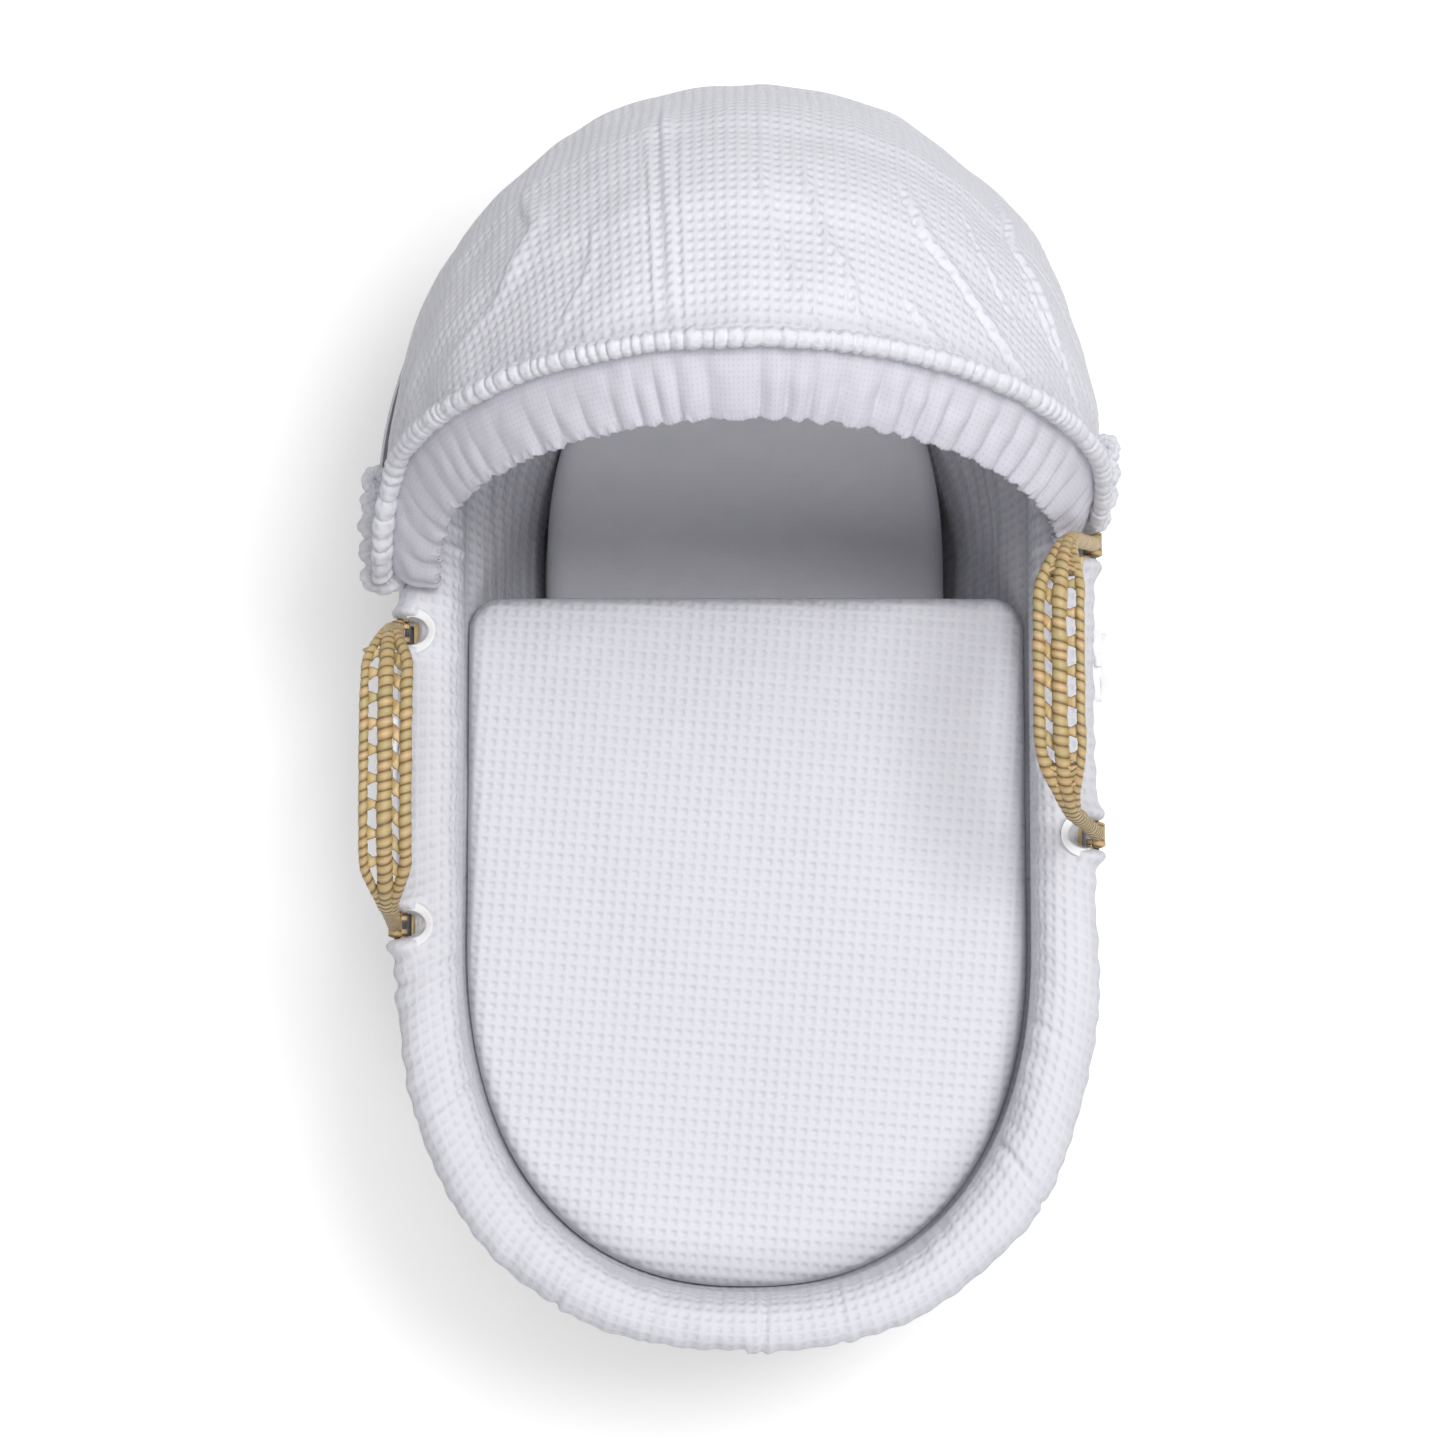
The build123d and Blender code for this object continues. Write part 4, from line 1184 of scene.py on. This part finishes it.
def gussets(side, look):
    """Closed weave that fills the pointed gaps where the coils draw together."""
    _, up = frames(MIDDLE_COIL)
    share = np.linspace(0, 1, 13)
    pieces = []
    for sign in (-1, 1):
        for end in (-1, 1):
            high = MIDDLE_COIL[:, 2] > 9
            leg = np.nonzero(high & (MIDDLE_COIL[:, 1] * end > GUSSET_START[side]))[0]
            base = MIDDLE_COIL[leg]
            offset = sign * spread(side, base[:, 1])[:, None] * share[None, :]
            distance = leg[:, None] * STEP
            twill = distance / 4.3 + 1.6 * end * np.abs(share - 0.5)[None, :]
            knots = ripple(distance, 6 * share[None, :], 7, 160 + (end > 0))
            puff = np.abs(np.sin(math.pi * twill)) ** 0.6
            lift = up[leg][:, None] * (1.5 + 1.3 * puff + 0.5 * knots)[..., None]
            sheet = base[:, None] + offset[..., None] * np.array([1.0, 0, 0])
            front, rear = place_handle(side, sheet + lift), place_handle(side, sheet - lift)
            flat = (twill, np.broadcast_to(share * 2, twill.shape))
            pieces.append(shell(f"gusset_{side}", front, rear, flat, look))
    piece = joined(f"handle_{side}_gussets", pieces)
    settle(piece, f"handle_{side}", "palm_leaf", f"handle_{side}_woven_ends")


# ---------------------------------------------------------------- small trims
def arc_line(points, count=40):
    """Smooth line through the points."""
    points = np.array(points, float)
    ends = 2 * points[[0, -1]] - points[[1, -2]]
    points = np.concatenate([ends[:1], points, ends[1:]])
    fine = np.linspace(0, len(points) - 3, count)
    i = np.clip(fine.astype(int), 0, len(points) - 4)
    s = (fine - i)[:, None]
    p0, p1, p2, p3 = (points[i + k] for k in range(4))
    square = (2 * p0 - 5 * p1 + 4 * p2 - p3) * s ** 2
    return 0.5 * (2 * p1 + (p2 - p0) * s + square + (3 * p1 - p0 - 3 * p2 + p3) * s ** 3)


def bow(side, look):
    """Ribbon loops, tails and knot beside the handle."""
    way, centre, _ = HANDLES[side]
    y = centre + 20
    x = way * HINGE_X

    def at(dx, dy, z):
        return (x + way * 0.75 * dx, y + 0.8 * dy, z)

    ribbons = [
        ([at(1, 2, 243), at(4, 9, 244), at(6, 17, 242), at(8, 24, 238)], 5.6),
        ([at(0, 2, 243), at(0, 10, 246), at(2, 19, 246), at(1, 26, 243)], 5.2),
        ([at(1, 0, 243), at(6, -9, 241), at(9, -20, 237), at(8, -30, 233),
          at(4, -32, 233), at(2, -22, 237), at(0, -2, 242)], 5.0),
        ([at(1, -1, 242), at(3, -10, 240), at(4, -17, 236), at(3, -22, 231)], 4.6),
        ([at(-2, 0, 239), at(1, 0, 245), at(5, 0, 244), at(5, 0, 239)], 8.0),
    ]
    pieces = []
    for path, width in ribbons:
        line = arc_line(path)
        lean = np.array([way * 1.0, 0, 0.35]) if width < 8 else np.array([0, 1.0, 0])
        pieces.append(strip(f"ribbon_{side}", line, lean, width, 0.9, look))
    piece = joined(f"tie_ribbon_{side}", pieces)
    settle(piece, "root", "white_tape", f"tie_bow_{side}")


def binding(side, look):
    """White tape round the cut-out in the cloth that the handle comes through."""
    way, centre, _ = HANDLES[side]
    pieces = []
    turn = np.linspace(math.radians(-205), math.radians(25), 60)
    for leg in (-LEG, LEG):
        x = 225.5 + np.where(np.sin(turn) < 0, 14.5, 8.0) * np.sin(turn)
        y = 12.5 * np.cos(turn)
        level = 236 + 26 * (1 - np.clip(np.abs(x - 214) / 21, 0, 0.93) ** 2.4) ** (1 / 2.4)
        line = np.stack([way * x, centre + leg + y, level + 1.2], -1)
        face = np.stack([way * 0.8 * np.sin(turn), np.cos(turn), -0.5 * np.sin(turn)], -1)
        pieces.append(strip(f"tape_{side}", line, face, 6.0, 1.0, look))
    piece = joined(f"cutout_tape_{side}", pieces)
    settle(piece, "root", "white_tape", f"cutout_binding_{side}")


def anchors(side, look):
    """Leaf loops that hold the hinge bars, with their tails down the outside of the palm wall."""
    way, centre, _ = HANDLES[side]
    for kind, gap, size, reach in (("loops", 9.4, 6.6, 20), ("lashings", 4.5, 7.4, 12)):
        pieces = []
        for leg in (-LEG, LEG):
            for hand in (-1, 1):
                turn = np.linspace(-0.5 * math.pi, 0.95 * math.pi, 26)
                x = np.concatenate([np.full(6, 230.6), 231.5 - size * np.sin(turn)[::-1] * 0.55])
                z = np.concatenate([np.linspace(248 - reach, 246, 6), 247 - size * np.cos(turn)[::-1] * 0.5])
                y = np.full(len(x), centre + leg + hand * gap)
                line = evenly(np.stack([way * x, y, z], -1), 40)[0]
                pieces.append(strip(f"{kind}_{side}", line, (0, 1, 0), 3.8, 1.2, look, 5 * hand))
        name, node = {
            "loops": (f"handle_anchor_{kind}_{side}", f"handle_anchors_{side}"),
            "lashings": (f"handle_{kind}_wrap_{side}", f"handle_lashings_{side}"),
        }[kind]
        settle(joined(name, pieces), "root", "palm_leaf", node)


def paint(node, look):
    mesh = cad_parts[node].data
    mesh.materials.clear()
    mesh.materials.append(look)


make_camera()
make_lights()

bpy.ops.mesh.primitive_plane_add(size=7)
floor = bpy.context.object
floor.name = "floor"
floor_look = solid_look("studio_floor", (0.99,) * 3, (0.97,) * 3, 0.95, 30, 0.02)
floor_shader = floor_look.node_tree.nodes["Principled BSDF"]
floor_shader.inputs["Emission Color"].default_value = (1, 1, 1, 1)
floor_shader.inputs["Emission Strength"].default_value = 0.12
floor.data.materials.append(floor_look)

# The second colour is the painted shadow in the waffle's pits.
waffle = waffle_look("waffle_cotton", (0.72, 0.72, 0.76), (0.47, 0.47, 0.56))
# The reverse is painted darker and bluer than the waffle cloth's face: painted shade.
reverse = smooth_cloth_look("waffle_reverse_shaded", (0.66, 0.65, 0.71), (0.53, 0.52, 0.60), pits=0.35)
jersey = smooth_cloth_look("jersey_knit", (0.84, 0.84, 0.87), (0.74, 0.74, 0.79), streak=1.4)
leaf = palm_strip_look("palm_strip")
leaf_solid = palm_solid_look("palm_solid")
tape = smooth_cloth_look("cotton_tape", (0.90, 0.90, 0.91), (0.80, 0.80, 0.82))

rim_roll(waffle)
head = np.linspace(0.2, 0.8, 560)
piece = liner_wall("liner_wall_head", head, 98, waffle)
settle(piece, "root", "padded_waffle", "liner_wall")
foot = np.linspace(-0.2, 0.2, 230)
piece = liner_wall("liner_wall_foot", foot, 60, waffle)
settle(piece, "root", "padded_waffle")
skirt(waffle)
palm_body(leaf)
mattress(jersey)
coverlet(waffle)
canopy(waffle)
ruffle(waffle)
front_band(reverse)
hem_band(waffle)
for side in HANDLES:
    gather(side, waffle)
    coils(side, leaf)
    links(side, leaf)
    gussets(side, leaf)
    anchors(side, leaf)
    bow(side, tape)
    binding(side, tape)
    pocket = (0.86, 0.86, 0.88), (0.74, 0.74, 0.78), 0.92, 900, 0.3
    paint(f"hood_pocket_{side}", solid_look(f"pocket_cloth_{side}", *pocket))
for node in ("palm_base", "palm_rim_coil"):
    paint(node, leaf_solid)
hoop = solid_look("hoop_spring", (0.80, 0.80, 0.80), (0.66, 0.66, 0.66), 0.42, 700, 0.1)
elastic = solid_look("hem_elastic", (0.86, 0.86, 0.87), (0.70, 0.70, 0.72), 0.85, 1500, 0.3)
base_cloth = solid_look("liner_base_cloth", (0.85, 0.85, 0.87), (0.72, 0.72, 0.76), 0.95, 900, 0.3)
paint("hood_hoop", hoop)
paint("skirt_hem_elastic", elastic)
paint("liner_floor", base_cloth)
